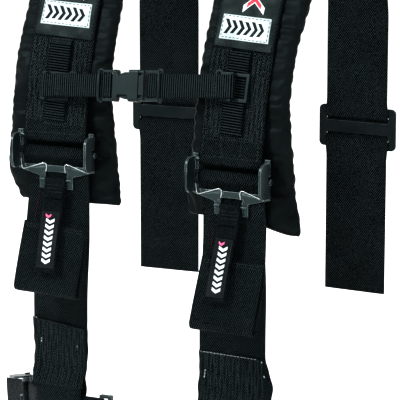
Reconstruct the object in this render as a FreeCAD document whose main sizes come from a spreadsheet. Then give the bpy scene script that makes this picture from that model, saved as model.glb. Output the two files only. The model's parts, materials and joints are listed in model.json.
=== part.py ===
"""Four-point racing harness: padded shoulder straps, sternum strap, tilt-lock adjusters, rear
three-bar slides, and lap belts with a lever latch and snap hooks.

Millimetres. The origin is midway between the shoulders, where the pads rest on them; +X is to
the right of someone facing the harness, -Y is towards them (the chest side) and +Z is up.
Each shoulder strap is built in its own side frame: local y is 0 on the chest plane and grows
towards the back, and the frame is turned a little about Z so that the straps spread behind.
"""
import FreeCAD, Part
import math
import os

Vector, Placement, Rotation = FreeCAD.Vector, FreeCAD.Placement, FreeCAD.Rotation
X_AXIS, Y_AXIS, Z_AXIS = Vector(1, 0, 0), Vector(0, 1, 0), Vector(0, 0, 1)

SIZES = {
    # webbing
    "webbing_width": 76.2, "webbing_thickness": 2.2,
    "narrow_width": 25.4, "narrow_thickness": 1.6, "fit_gap": 0.3,
    # overall layout
    "front_spacing": 217.2, "front_to_back": 313, "side_turn": 3, "arch_radius": 135,
    "lap_height": -561.6, "rear_end_height": -448, "rear_slide_height": -249,
    # heights that differ from side to side, as the straps are let out unequally
    "adjuster_height_left": -246.6, "adjuster_height_right": -256.8,
    "fold_height_left": -397.6, "fold_height_right": -416.6,
    "sewn_height_left": -434.6, "sewn_height_right": -452.6,
    # pads
    "pad_cover": 1.2, "pad_foam": 15, "pad_wide": 136, "pad_narrow": 112,
    "pad_bottom": -306, "pad_stand_off": 13, "pad_tail_angle": 38,
    # tilt-lock adjuster
    "bar_radius": 4.8, "bar_end_radius": 3, "top_bar_radius": 3, "top_bar_rise": 17.4,
    "frame_half_width": 46.5, "sheet_thickness": 2.5, "ear_depth": 20,
    "plate_height": 11, "prong_width": 7, "prong_spacing": 34, "prong_drop": 15,
    "bar_travel": 3, "wire_radius": 0.65, "strap_lean": 10, "loop_length": 32,
    # pull tab
    "tab_length": 106, "tab_lean": 28, "tab_rod_radius": 1.5, "label_thickness": 0.6,
    "tail_lean": 22, "fold_radius": 4.5, "fold_length": 72,
    # three-bar slide
    "slide_width": 100, "slide_height": 50, "slide_slot": 9, "slide_bar": 9,
    # sternum strap
    "sternum_height": -166.6, "sternum_tilt": 3.4, "ladder_bottom": -222, "ladder_top": -122,
    "ladder_stand_off": 4.5, "slider_size": 34, "patch_width": 63, "label_width": 22,
    # lap belt
    "lap_turn": 45, "lap_drop": 12, "hook_bore": 9, "hook_thickness": 5,
}
os.makedirs("parts", exist_ok=True)
doc = FreeCAD.newDocument("harness")
sheet = doc.addObject("Spreadsheet::Sheet", "Dims")
for row, (alias, value) in enumerate(SIZES.items(), start=1):
    sheet.set(f"A{row}", alias)
    sheet.set(f"B{row}", str(value))
    sheet.setAlias(f"B{row}", alias)
doc.recompute()


def size(alias):
    """A driving dimension, read from the spreadsheet."""
    return float(sheet.get(alias))


THICK, NARROW, GAP = size("webbing_thickness"), size("narrow_thickness"), size("fit_gap")
PAD_THICK = 2 * size("pad_cover") + size("pad_foam") + 2 * 0.1
ARCH_Z = -(size("arch_radius") - THICK / 2 - GAP - PAD_THICK)
ARCH_Y = size("front_to_back") - size("arch_radius")
CHEST_Y = -ARCH_Y
NODES = []


# ---- routes: straight runs and tangent arcs, followed like a turtle --------------------------
class Route:
    """A planar centreline of straight runs and tangent arcs, from a start point and a heading."""

    def __init__(self, start, heading):
        self.start, self.heading, self.steps, self.loop = start, heading, [], 0.0

    def line(self, length):
        self.steps.append(("line", length))
        return self

    def arc(self, radius, turn):
        """Turns by this many degrees, positive to the left."""
        self.steps.append(("arc", radius, turn))
        return self

    def follow(self, offset=0.0):
        """The runs as (start, middle or None, end) points, shifted to the left by offset."""
        heading = math.radians(self.heading)
        a, b = self.start
        a, b = a - offset * math.sin(heading), b + offset * math.cos(heading)
        runs = []
        for step in self.steps:
            if step[0] == "line":
                end = (a + step[1] * math.cos(heading), b + step[1] * math.sin(heading))
                runs.append(((a, b), None, end))
            else:
                side = 1 if step[2] > 0 else -1
                radius = step[1] - side * offset
                turn = math.radians(step[2])
                centre = (a - side * radius * math.sin(heading),
                          b + side * radius * math.cos(heading))

                def at(angle):
                    return (centre[0] + side * radius * math.sin(angle),
                            centre[1] - side * radius * math.cos(angle))

                end = at(heading + turn)
                runs.append(((a, b), at(heading + turn / 2), end))
                heading += turn
            a, b = end
        return runs

    def end(self):
        return self.follow()[-1][2]

    def length(self):
        return sum(s[1] if s[0] == "line" else s[1] * math.radians(abs(s[2])) for s in self.steps)

    def point(self, distance, offset=0.0):
        """The point at a distance along the route, shifted to the left, and the heading there."""
        part = self.section(0, distance)
        return part.follow(offset)[-1][2], part.heading + part.turned()

    def turned(self):
        return sum(step[2] for step in self.steps if step[0] == "arc")

    def section(self, start, stop):
        """The steps between two distances along the route, as a route from the same start."""
        part, gone, ahead = Route(self.start, self.heading), 0.0, []
        for step in self.steps:
            run = step[1] if step[0] == "line" else step[1] * math.radians(abs(step[2]))
            low, high = max(start, gone), min(stop, gone + run)
            if high > low:
                share = (high - low) / run
                if step[0] == "line":
                    part.line(step[1] * share)
                else:
                    part.arc(step[1], step[2] * share)
            if gone < start:
                ahead.append((step, min(1.0, (start - gone) / run)))
            gone += run
        for step, share in ahead:
            lead = Route(part.start, part.heading)
            if step[0] == "line":
                lead.line(step[1] * share)
            else:
                lead.arc(step[1], step[2] * share)
            part.start, part.heading = lead.follow()[-1][2], part.heading + lead.turned()
        return part

    def beside(self, offset):
        """The parallel route, shifted to the left."""
        heading = math.radians(self.heading)
        start = (self.start[0] - offset * math.sin(heading),
                 self.start[1] + offset * math.cos(heading))
        other = Route(start, self.heading)
        for step in self.steps:
            if step[0] == "line":
                other.line(step[1])
            else:
                other.arc(step[1] - math.copysign(offset, offset * step[2]), step[2])
        return other

    def ending_at(self, point):
        """The same route, moved so that it ends at a point."""
        end = self.follow()[-1][2]
        start = (self.start[0] + point[0] - end[0], self.start[1] + point[1] - end[1])
        moved = Route(start, self.heading)
        moved.steps = list(self.steps)
        return moved

    def at_height(self, height):
        """How far along the route it first climbs to a height, once past its sewn loop."""
        low = high = self.loop
        while self.point(high + 1)[0][1] < height:
            high += 1
        low, high = high, high + 1
        for _ in range(30):
            middle = (low + high) / 2
            low, high = (middle, high) if self.point(middle)[0][1] < height else (low, middle)
        return low

    def shift(self, distance, radius):
        """An S-bend that moves the line sideways, to the left if positive."""
        turn = math.degrees(math.acos(1 - abs(distance) / (2 * radius)))
        turn = math.copysign(turn, distance)
        return self.arc(radius, turn).arc(radius, -turn)

    def loop_end(self, wrap, length, side, spacing):
        """Turns round a bar on one side (+1 left, -1 right) and lies back along itself."""
        spread, _ = loop_spread(wrap, spacing)
        self.arc(wrap, side * (180 + spread)).arc(LOOP_BEND, -side * spread)
        return self.line(length)


def curve(run, backwards=False):
    start, middle, end = (Vector(p[0], p[1], 0) if p else None for p in run)
    if backwards:
        start, end = end, start
    return Part.Arc(start, middle, end) if middle else Part.LineSegment(start, end)


def outline(route, low, high):
    """The closed outline of a strip between two offsets of a route."""
    left, right = route.follow(high), route.follow(low)
    corner = [Vector(p[0], p[1], 0) for p in (left[-1][2], right[-1][2], right[0][0], left[0][0])]
    return ([curve(r) for r in left] + [Part.LineSegment(corner[0], corner[1])]
            + [curve(r, True) for r in reversed(right)] + [Part.LineSegment(corner[2], corner[3])])


LOOP_BEND = 8.0


def loop_spread(wrap, spacing):
    """Angle and length of the bend that brings a sewn end close to its own webbing."""
    across = LOOP_BEND + spacing - wrap
    along = math.sqrt((LOOP_BEND + wrap) ** 2 - across ** 2)
    return math.degrees(math.atan2(along, across)), along


def loop_start(bar, heading, wrap, length, side, spacing):
    """A route that starts with a sewn end folded round a bar, then leaves at a heading."""
    spread, along = loop_spread(wrap, spacing)
    h = math.radians(heading)
    ahead, left = (math.cos(h), math.sin(h)), (-math.sin(h), math.cos(h))
    start = tuple(bar[i] - side * left[i] * (wrap - spacing) + ahead[i] * (along + length)
                  for i in (0, 1))
    route = Route(start, heading - side * 180).line(length).arc(LOOP_BEND, -side * spread)
    route.arc(wrap, side * (180 + spread))
    route.loop = route.length()
    return route


# ---- building blocks --------------------------------------------------------------------------
def origin_plane(body, role):
    return next(o for o in body.Origin.OriginFeatures if o.Role == role)


def new_sketch(body, name, role, geometry):
    sketch = body.newObject("Sketcher::SketchObject", name)
    sketch.AttachmentSupport = [(origin_plane(body, role), "")]
    sketch.MapMode = "FlatFace"
    sketch.addGeometry(geometry, False)
    return sketch


def keep(obj, label, placement=None):
    """Registers an object as one named sub-part, in its place."""
    obj.Label = label
    if placement is not None:
        obj.Placement = placement
    NODES.append(obj)
    return obj


def strip(label, route, placement, width="webbing_width", low=None, high=None, cuts=()):
    """A strip of webbing: the route's outline in the local YZ plane, padded across it."""
    low = -THICK / 2 if low is None else low
    high = THICK / 2 if high is None else high
    body = doc.addObject("PartDesign::Body", label)
    profile = new_sketch(body, label + "_profile", "YZ_Plane", outline(route, low, high))
    pad = body.newObject("PartDesign::Pad", label + "_pad")
    pad.Profile = profile
    pad.SideType = "Symmetric"
    pad.setExpression("Length", "Dims." + width)
    for index, points in enumerate(cuts):
        corners = [Vector(u, w, 0) for u, w in points]
        edges = [Part.LineSegment(p, q) for p, q in zip(corners, corners[1:] + corners[:1])]
        cut = new_sketch(body, f"{label}_cut{index}", "XZ_Plane", edges)
        pocket = body.newObject("PartDesign::Pocket", f"{label}_pocket{index}")
        pocket.Profile = cut
        pocket.SideType = "Symmetric"
        pocket.Length = 1000
    return keep(body, label, placement)


def box(low, high):
    """A box solid between two corners."""
    return Part.makeBox(*[h - l for l, h in zip(low, high)], Vector(*low))


def rod(radius, length, centre, axis=X_AXIS):
    """A round bar centred on a point, along an axis."""
    return Part.makeCylinder(radius, length, centre - axis * (length / 2), axis)


def solid_part(label, shape, placement=None):
    obj = doc.addObject("Part::Feature", label)
    obj.Shape = shape.removeSplitter()
    return keep(obj, label, placement or Placement())


def rounded(shape, radius, pick):
    """Fillets the edges that pick accepts, by their middle point and direction."""
    edges = []
    for edge in shape.Edges:
        middle = edge.valueAt((edge.FirstParameter + edge.LastParameter) / 2)
        ends = [v.Point for v in edge.Vertexes]
        if len(ends) == 2 and pick(middle, (ends[1] - ends[0]).normalize()):
            edges.append(edge)
    return shape.makeFillet(radius, edges) if edges else shape


# ---- frames of each side -----------------------------------------------------------------------
class Side:
    """One shoulder and lap side. sign is -1 on the left (-X) and +1 on the right."""

    def __init__(self, name, sign):
        self.name, self.sign = name, sign
        self.frame = Placement(Vector(sign * size("front_spacing") / 2, CHEST_Y, 0),
                               Rotation(Z_AXIS, -sign * size("side_turn")))

    def size(self, alias):
        return size(f"{alias}_{self.name}")

    def label(self, word):
        return f"{self.name}_{word}"


SIDES = [Side("left", -1), Side("right", 1)]


def arch_arc(point, heading, radius):
    """Radius and turn of the arc that leaves a point at a heading and meets the shoulder arch."""
    y, drop = point[0] - ARCH_Y, ARCH_Z - point[1]
    s, c = math.sin(math.radians(heading)), math.cos(math.radians(heading))
    arc = (radius ** 2 - y ** 2 - drop ** 2) / (2 * y * s + 2 * drop * c + 2 * radius)
    end = math.degrees(math.atan2((y + arc * s) / (arc - radius), (drop + arc * c) / (arc - radius)))
    return arc, heading - end


TOP_WRAP = size("top_bar_radius") + 0.2 + THICK / 2
BAR_WRAP = size("bar_radius") + 0.2 + THICK / 2
TOP_BAR = Vector(0, 0.9, size("top_bar_rise"))
BAR_Y = TOP_WRAP - TOP_BAR.y
SEWN = THICK + 0.1
SEWN_NARROW = NARROW + 0.1
PLATE_FRONT = -0.35
PLATE_BACK = PLATE_FRONT + size("sheet_thickness")
PLATE_TOP = -15
PRONG_END = PLATE_TOP - size("plate_height") - size("prong_drop")
ROD_AT = Vector(0, PLATE_FRONT - 1.25, -31)


# ---- tilt-lock adjuster, in its own frame: slide bar at the origin, strap along z ----------------
def mirrored(points):
    return points + [(-u, w) for u, w in reversed(points)]


def sheet_metal(points, front, back):
    """A flat plate from (u, z) points, between two depths."""
    wire = Part.makePolygon([Vector(u, front, w) for u, w in points + points[:1]])
    return Part.Face(wire).extrude(Vector(0, back - front, 0))


def wire_form(points, radius):
    """A bent wire through points, rounded at the bends."""
    shape = Part.makeSphere(radius, points[0])
    for start, end in zip(points, points[1:]):
        run = Part.makeCylinder(radius, start.distanceToPoint(end), start, end - start)
        shape = shape.fuse([run, Part.makeSphere(radius, end)])
    return shape


def adjuster_frame():
    half, thick = size("frame_half_width"), size("sheet_thickness")
    prong_out = (size("prong_spacing") + size("prong_width")) / 2
    prong_in = prong_out - size("prong_width")
    shape = sheet_metal(mirrored([(half, PLATE_TOP), (half, -20), (prong_out, -27),
                                  (prong_out, PRONG_END), (prong_in, PRONG_END), (prong_in, -22)]),
                        PLATE_FRONT, PLATE_BACK)
    for side in (-1, 1):
        low, high = sorted((side * (half - thick), side * half))
        ear = box((low, -size("ear_depth"), -18), (high, PLATE_BACK, 21))
        ear = rounded(ear, 9, lambda p, d: abs(d.x) > 0.9 and p.y < 1 - size("ear_depth"))
        low, high = sorted((side * 41, side * half))
        rail = box((low, PLATE_FRONT, PLATE_TOP), (high, PLATE_BACK, 24))
        shape = shape.fuse([ear, rail])
    shape = shape.fuse([rod(size("top_bar_radius"), 2 * half - 1, TOP_BAR),
                        rod(size("tab_rod_radius"), 2 * prong_out - 2, ROD_AT)])
    slot = size("bar_end_radius") + GAP
    low, high = sorted((-slot, slot))
    shape = shape.cut(box((-60, low, low), (60, high, high + size("bar_travel"))))
    for side in (-1, 1):
        bends = [(42, -12), (37, -20), (10, -16.5), (16, -26)]
        wire = wire_form([Vector(side * u, PLATE_FRONT - 0.4, w) for u, w in bends],
                         size("wire_radius"))
        shape = shape.fuse(wire)
    return shape


def slide_bar():
    ends = rod(size("bar_end_radius"), 2 * size("frame_half_width") + 4, Vector(0, 0, 0))
    return rod(size("bar_radius"), 80, Vector(0, 0, 0)).fuse(ends)


def tail_route(lean, straight, length):
    """Webbing from behind the slide bar, over it, behind the plate and away in front."""
    route = Route((BAR_WRAP, 0), 90).arc(BAR_WRAP, 240).arc(13.2, -60).line(24)
    if lean:
        route.arc(40, -lean)
    return route.line(straight)


# ---- shoulder straps -------------------------------------------------------------------------------
def shoulder_route(side):
    """The long strap: adjuster loop, up over the shoulder, through the slide, down the back."""
    bar = (BAR_Y + TOP_BAR.y, side.size("adjuster_height") + TOP_BAR.z)
    heading = 90 - size("strap_lean")
    route = loop_start(bar, heading, TOP_WRAP, size("loop_length"), -1, SEWN)
    route.line(36)
    radius, turn = arch_arc(route.follow()[-1][2], heading, size("arch_radius"))
    route.arc(radius, -turn).arc(size("arch_radius"), -(heading - turn + 90))
    step = 4.51
    drop = 2 * step * math.sin(math.radians(65))
    slot_top = size("rear_slide_height") + 11.5 + drop / 2
    route.line(ARCH_Z - slot_top)
    route.arc(step, 65).arc(step, -65).line(23 - drop).arc(step, -65).arc(step, 65)
    return route.line(slot_top - 23 - drop - size("rear_end_height"))


def pad_route(strap):
    """The outer surface of a shoulder pad: straight up, then eased in under the strap."""
    under = strap.beside(-THICK / 2 - GAP)
    lead, ease, bottom = Route(under.start, under.heading), 120, size("pad_bottom")
    lead.steps = under.steps[:4]
    point, heading = lead.follow()[-1][2], math.radians(lead.heading + lead.turned())
    sweep, turn = under.steps[4][1:]
    centre = (point[0] + sweep * math.sin(heading), point[1] - sweep * math.cos(heading))
    across, reach = centre[0] - size("pad_stand_off") - ease, sweep - ease
    rise = centre[1] + math.sqrt(reach ** 2 - across ** 2)
    joined = math.degrees(math.asin(across / reach))
    crest = math.degrees(heading) + turn
    route = Route((size("pad_stand_off"), bottom), 90).line(rise - bottom).arc(ease, joined - 90)
    route.arc(sweep, crest - joined)
    return route.arc(under.steps[5][1], -(crest + size("pad_tail_angle")))


def pad_cuts(inset):
    """Outlines cut away from a pad seen from the front: side tapers and clipped corners."""
    wide, narrow, low = size("pad_wide") / 2 - inset, size("pad_narrow") / 2 - inset, -170
    bottom = size("pad_bottom")
    cuts = []
    for side in (-1, 1):
        points = [(narrow, 60), (narrow, low), (wide, bottom + 14), (wide - 14, bottom - 5),
                  (wide + 30, bottom - 5), (wide + 30, 60)]
        cuts.append([(side * u, w) for u, w in points])
    return cuts


def rear_slide():
    width, height = size("slide_width"), size("slide_height")
    y = size("front_to_back") + 2.6
    plate = box((-width / 2, y - 1.25, -height / 2), (width / 2, y + 1.25, height / 2))
    plate = rounded(plate, 6, lambda p, d: abs(d.y) > 0.9)
    edge, slot = size("slide_bar"), size("slide_slot")
    for side in (-1, 1):
        low, high = sorted((side * (height / 2 - edge), side * (height / 2 - edge - slot)))
        opening = box((-width / 2 + 9, y - 5, low), (width / 2 - 9, y + 5, high))
        plate = plate.cut(rounded(opening, 3, lambda p, d: abs(d.y) > 0.9))
    return plate


def lower_strap(side):
    """Doubled webbing from its sewn edge down round the lap belt and up to the adjuster."""
    half = 6.8
    top, bar_z = side.size("sewn_height"), side.size("adjuster_height")
    rise = math.sqrt(4 * 30 * (half - SEWN / 2) - (half - SEWN / 2) ** 2)
    back = BAR_Y + BAR_WRAP - SEWN / 2
    climb = math.sqrt(4 * 500 * back - back ** 2)
    under, over = size("lap_height") - 40, size("lap_height") + 42
    route = Route((-SEWN / 2, top), -90).line(top - over - rise)
    route.shift(-(half - SEWN / 2), 30).line(over - under).arc(half, 180).line(over - under)
    route.shift(half - SEWN / 2, 30)
    gentle = bar_z - 55 - climb
    return route.line(gentle - over - rise).shift(-back, 500).line(bar_z - 1 - gentle - climb)


def pull_tab():
    wrap = size("tab_rod_radius") + 0.2 + NARROW / 2
    route = loop_start((ROD_AT.y, ROD_AT.z), 270 - size("tab_lean"), wrap, 14, -1, SEWN_NARROW)
    return route.line(size("tab_length"))


def ladder_route(strap, stand_off):
    """Narrow webbing sewn to the strap at both ends and held off it in between."""
    low, high = strap.at_height(size("ladder_bottom")), strap.at_height(size("ladder_top"))
    sewn = THICK / 2 + NARROW / 2 + 0.1
    rise = stand_off - sewn
    length = math.sqrt(4 * 8 * rise - rise ** 2)
    start, heading = strap.point(low, sewn)
    route = Route(start, heading).shift(rise, 8)
    route.steps += strap.section(low + length, high - length).beside(stand_off).steps
    return route.shift(-rise, 8)


# ---- sternum strap hardware --------------------------------------------------------------------------
LADDER_FRONT = -NARROW / 2 - 0.6
SLIDER_FRONT = LADDER_FRONT - 2
STRAP_BAR_RADIUS = 1.2
STRAP_WRAP = STRAP_BAR_RADIUS + 1.2 + NARROW / 2
STRAP_BAR_DEPTH = SLIDER_FRONT - 1.2 - NARROW / 2 - STRAP_WRAP


def slider(bar_u, inward):
    """Plastic slider, origin on the ladder webbing: front bars, back bar and a strap bar."""
    half, tall, back = size("slider_size") / 2, size("slider_size") / 2 - 1.5, NARROW / 2 + 0.7
    pieces = [box((-half + 1, SLIDER_FRONT, edge), (half - 1, LADDER_FRONT, edge + 3.4))
              for edge in (-tall, tall - 3.4)]
    pieces.append(box((-half + 1, back, -5), (half - 1, back + 1.2, 5)))
    for edge in (-1, 1):
        low, high = sorted((edge * (tall - 1.4), edge * tall))
        pieces.append(box((bar_u - 1.8, STRAP_BAR_DEPTH - 1.6, low),
                          (bar_u + 1.8, LADDER_FRONT - 1, high)))
    shape = box((half - 3, SLIDER_FRONT, -tall), (half, back + 1.2, tall))
    pieces.append(box((-half, SLIDER_FRONT, -tall), (3 - half, back + 1.2, tall)))
    bar = rod(STRAP_BAR_RADIUS, 2 * tall - 1, Vector(bar_u, STRAP_BAR_DEPTH, 0), Z_AXIS)
    eye = Vector(inward * (half + 3.2), SLIDER_FRONT + 0.2, tall - 2.3)
    ring = Part.makeCylinder(4.7, 1.6, eye, Y_AXIS).cut(Part.makeCylinder(2.5, 4, eye, Y_AXIS))
    return shape.fuse(pieces + [bar, ring])


def webbing_ladder(near, far, bar_at, tall):
    """Two rails joined by a webbing bar and an end bar, at the end of a buckle half."""
    low, high = sorted((near, far))
    shape = rod(1.9, 2 * tall - 1, Vector(bar_at, 0, 0), Z_AXIS)
    for edge in (-1, 1):
        z0, z1 = sorted((edge * (tall - 2.6), edge * tall))
        shape = shape.fuse(box((low, -2.6, z0), (high, 2.6, z1)))
    end = sorted((far, far - math.copysign(2.2, far - near)))
    return shape.fuse(box((end[0], 0, -tall), (end[1], 2.6, tall)))


def buckle_female():
    shell = box((-30, -6.2, -17.5), (0.5, 6.2, 17.5))
    shell = rounded(shell, 3, lambda p, d: abs(d.x) > 0.9)
    shell = shell.cut(box((-27, -3.6, -15.2), (1, 3.6, 15.2)))
    for edge in (-1, 1):
        low, high = sorted((edge * 10, edge * 20))
        waist = box((-26.5, -10, low), (-11, 10, high))
        shell = shell.cut(rounded(waist, 4, lambda p, d: abs(d.y) > 0.9 and abs(p.z) < 11))
    return shell.fuse(webbing_ladder(-29, -48, -38.5, 17))


ARM_PIVOT = Vector(4.2, 0, 12.2)


def buckle_male():
    base = box((1.2, -5.4, -16.6), (7, 5.4, 16.6))
    base = rounded(base, 2, lambda p, d: abs(d.x) > 0.9)
    base = base.fuse(webbing_ladder(6, 27, 14.5, 16.6))
    guide = box((-24, -3, -4.5), (2, 3, 4.5))
    base = base.fuse(rounded(guide, 2, lambda p, d: abs(d.y) > 0.9 and p.x < 0))
    for edge in (-1, 1):
        at = Vector(ARM_PIVOT.x, 0, edge * ARM_PIVOT.z)
        base = base.cut(rod(1.9, 20, at, Y_AXIS))
        low, high = sorted((edge * (ARM_PIVOT.z - 1.7), edge * (ARM_PIVOT.z + 1.7)))
        base = base.cut(box((0, -10, low), (ARM_PIVOT.x - 0.6, 10, high)))
    return base


def buckle_arm(edge):
    """Springy arm of the male half, with its barb and a round root."""
    root = rod(1.6, 6, Vector(ARM_PIVOT.x, 0, edge * ARM_PIVOT.z), Y_AXIS)
    low, high = sorted((edge * 11.3, edge * 13.1))
    beam = box((-22, -3, low), (ARM_PIVOT.x, 3, high))
    points = [(-25, 9.6), (-14, 9.6), (-14, 14.8), (-17, 14.8), (-25, 12)]
    barb = sheet_metal([(u, edge * w) for u, w in points], -3, 3)
    return root.fuse([beam, barb])


# ---- lap belt hardware ---------------------------------------------------------------------------------
LAP_WRAP = 2.2 + 0.2 + THICK / 2
LAP_HALF = size("webbing_width") / 2 + 2
LATCH_BAR_AT = 50
LAP_ELBOW, LAP_MITRE = 10, 4


def lap_anchor(sign, start):
    """Cross bar for the webbing on one side of the latch, joined to a plate by two arms."""
    low, high = sorted((sign * start, sign * (start + 4)))
    shape = box((low, -3, -LAP_HALF - 3.5), (high, 3, LAP_HALF + 3.5))
    low, high = sorted((sign * start, sign * LATCH_BAR_AT))
    for edge in (-1, 1):
        z0, z1 = sorted((edge * LAP_HALF, edge * (LAP_HALF + 3.5)))
        shape = shape.fuse(box((low, -2.2, z0), (high, 2.2, z1)))
    return shape.fuse(rod(2.2, 2 * LAP_HALF + 6, Vector(sign * LATCH_BAR_AT, 0, 0), Z_AXIS))


def latch_base():
    shell = box((-36, -7, -27), (22, 5, 27))
    shell = rounded(shell, 4, lambda p, d: abs(d.y) > 0.9)
    shell = shell.cut(box((-20, -1.5, -22.2), (30, 1.5, 22.2)))
    for edge in (-1, 1):
        low, high = sorted((edge * 23.5, edge * 27))
        shell = shell.fuse(box((-29, -13, low), (-19, -6, high)))
    shell = shell.cut(rod(1.8, 60, Vector(-24, -10.5, 0), Z_AXIS))
    return shell.fuse(lap_anchor(-1, 36))


def latch_lever():
    plate = box((-24, -12.2, -22.5), (25, -9.6, 22.5))
    plate = rounded(plate, 5, lambda p, d: abs(d.y) > 0.9 and p.x > 0)
    knuckle = rod(2.6, 45, Vector(-24, -10.5, 0), Z_AXIS)
    lip = box((19, -15, -12), (22, -10, 12))
    pin = rod(1.5, 55, Vector(-24, -10.5, 0), Z_AXIS)
    return plate.fuse([knuckle, lip, pin])


def latch_tongue():
    blade = box((7, -1, -21.5), (37, 1, 21.5))
    blade = rounded(blade, 6, lambda p, d: abs(d.y) > 0.9 and p.x < 8)
    blade = blade.cut(box((12, -5, -9), (18, 5, 9)))
    return blade.fuse(lap_anchor(1, 36))


HOOK_REACH = 46
GATE_AT = (12, 80)


def polar(radius, angle):
    return Vector(radius * math.cos(math.radians(angle)), radius * math.sin(math.radians(angle)), 0)


def ring_sector(inner, outer, start, stop, thick):
    arc = [Part.Arc(*[polar(r, a) for a in (start, (start + stop) / 2, stop)]).toShape()
           for r in (inner, outer)]
    side = [Part.makeLine(polar(inner, a), polar(outer, a)) for a in (start, stop)]
    face = Part.Face(Part.Wire(Part.__sortEdges__([arc[0], side[1], arc[1], side[0]])))
    face.translate(Vector(0, 0, -thick / 2))
    return face.extrude(Vector(0, 0, thick))


def snap_hook():
    """Flat hook, origin at the centre of its bore, webbing bar towards -x."""
    thick, bore = size("hook_thickness"), size("hook_bore")
    tall = LAP_HALF + 3.5
    points = [(-bore - 1, -8), (-bore - 1, 8), (-28, tall), (-48, tall), (-48, LAP_HALF),
              (-36, LAP_HALF), (-30, LAP_HALF - 8), (-30, 8 - LAP_HALF), (-36, -LAP_HALF),
              (-48, -LAP_HALF), (-48, -tall), (-28, -tall)]
    wire = Part.makePolygon([Vector(x, y, -thick / 2) for x, y in points + points[:1]])
    shape = Part.Face(wire).extrude(Vector(0, 0, thick))
    shape = shape.fuse(ring_sector(bore, bore + 7, 80, 380, thick))
    shape = shape.cut(Part.makeCylinder(bore, 20, Vector(0, 0, -10)))
    shape = shape.fuse(rod(3, 2 * tall - 1, Vector(-HOOK_REACH, 0, 0), Y_AXIS))
    return shape.cut(Part.makeCylinder(2.6, 20, polar(*GATE_AT) - Vector(0, 0, 10)))


def hook_gate():
    sector = ring_sector(9.9, 11.6, 30, 73, 3)
    return sector.fuse(Part.makeCylinder(2.2, 3, polar(*GATE_AT) - Vector(0, 0, 1.5)))


def lap_frame(sign):
    """Plan frame of one lap side: local y to the back, local z towards the centre line."""
    turn = Rotation(Vector(0, 0, sign), Y_AXIS, Vector(-sign, 0, 0), "XYZ")
    return Placement(Vector(0, CHEST_Y, size("lap_height")), turn)


def lap_inner_route():
    """From the latch outwards along the chest and round the hip."""
    route = loop_start((-LAP_WRAP, -LATCH_BAR_AT), -90, LAP_WRAP, 12, -1, SEWN)
    return route.line(122 - LATCH_BAR_AT).arc(30, size("lap_turn"))


def flat_strip(route):
    """The solid of a strip of webbing in the frame of its route."""
    face = Part.Face(Part.Wire([c.toShape() for c in outline(route, -THICK / 2, THICK / 2)]))
    solid = face.extrude(Vector(0, 0, size("webbing_width")))
    shift = Vector(-size("webbing_width") / 2, 0, 0)
    return moved_by(solid, Placement(shift, Rotation(Y_AXIS, Z_AXIS, X_AXIS, "XYZ")))


def moved_by(shape, placement):
    moved = shape.copy()
    moved.Placement = placement * moved.Placement
    return moved


# ---- build both sides ---------------------------------------------------------------------------------
def build_shoulder(side):
    strap = shoulder_route(side)
    strip(side.label("shoulder_webbing"), strap, side.frame)
    outer = pad_route(strap)
    cover, foam = size("pad_cover"), size("pad_foam")
    layers = [("pad_cover", 0, cover, 0), ("pad_foam", cover + 0.1, foam, 3),
              ("pad_liner", cover + foam + 0.2, cover, 0)]
    for word, depth, thick, inset in layers:
        route = outer.section(inset, outer.length() - inset)
        strip(side.label(word), route, side.frame, "pad_wide", -depth - thick, -depth,
              pad_cuts(inset))
    crest = strap.at_height(size("ladder_top") + 1.5)
    panel = strap.section(crest, crest + 150)
    face = THICK / 2 + 0.1
    strip(side.label("shoulder_panel"), panel, side.frame, "webbing_width", face, face + 0.9)
    patch = strap.section(crest + 8, crest + 36)
    strip(side.label("name_patch"), patch, side.frame, "patch_width", face + 1.0, face + 1.5)
    stand_off = size("ladder_stand_off")
    strip(side.label("ladder_webbing"), ladder_route(strap, stand_off), side.frame,
          "narrow_width", -NARROW / 2, NARROW / 2)
    solid_part(side.label("rear_slide"), rear_slide(),
               side.frame * Placement(Vector(0, 0, size("rear_slide_height")), Rotation()))
    at = side.frame * Placement(Vector(0, BAR_Y, side.size("adjuster_height")), Rotation())
    solid_part(side.label("adjuster_frame"), adjuster_frame(), at)
    solid_part(side.label("adjuster_bar"), slide_bar(), at)
    drop = side.size("adjuster_height") - side.size("fold_height")
    straight = (drop - 56 - size("fold_radius")) / math.cos(math.radians(size("tail_lean")))
    tail = tail_route(size("tail_lean"), straight, 0)
    tail.arc(size("fold_radius"), -180).line(size("fold_length"))
    strip(side.label("tail_webbing"), tail, at)
    over, under, narrow = size("lap_height") + 46, size("lap_height") - 60, 25
    bunched = [(narrow, under), (narrow, over), (39, over + 30), (60, over + 30), (60, under)]
    strip(side.label("lower_webbing"), lower_strap(side), side.frame,
          cuts=[[(side.sign * u, w) for u, w in bunched]])
    tab = pull_tab()
    strip(side.label("pull_tab"), tab, at, "narrow_width", -NARROW / 2, NARROW / 2)
    face = -NARROW / 2 - 0.1
    label = tab.section(tab.length() - 70, tab.length() - 4)
    strip(side.label("tab_label"), label, at, "label_width",
          face - size("label_thickness"), face)
    return strap


def slider_place(side, strap):
    """Where a slider sits on its ladder webbing."""
    height = size("sternum_height") + side.sign * 6.5
    point, heading = strap.point(strap.at_height(height), size("ladder_stand_off"))
    return side.frame * Placement(Vector(0, *point), Rotation(X_AXIS, heading - 90))


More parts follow.
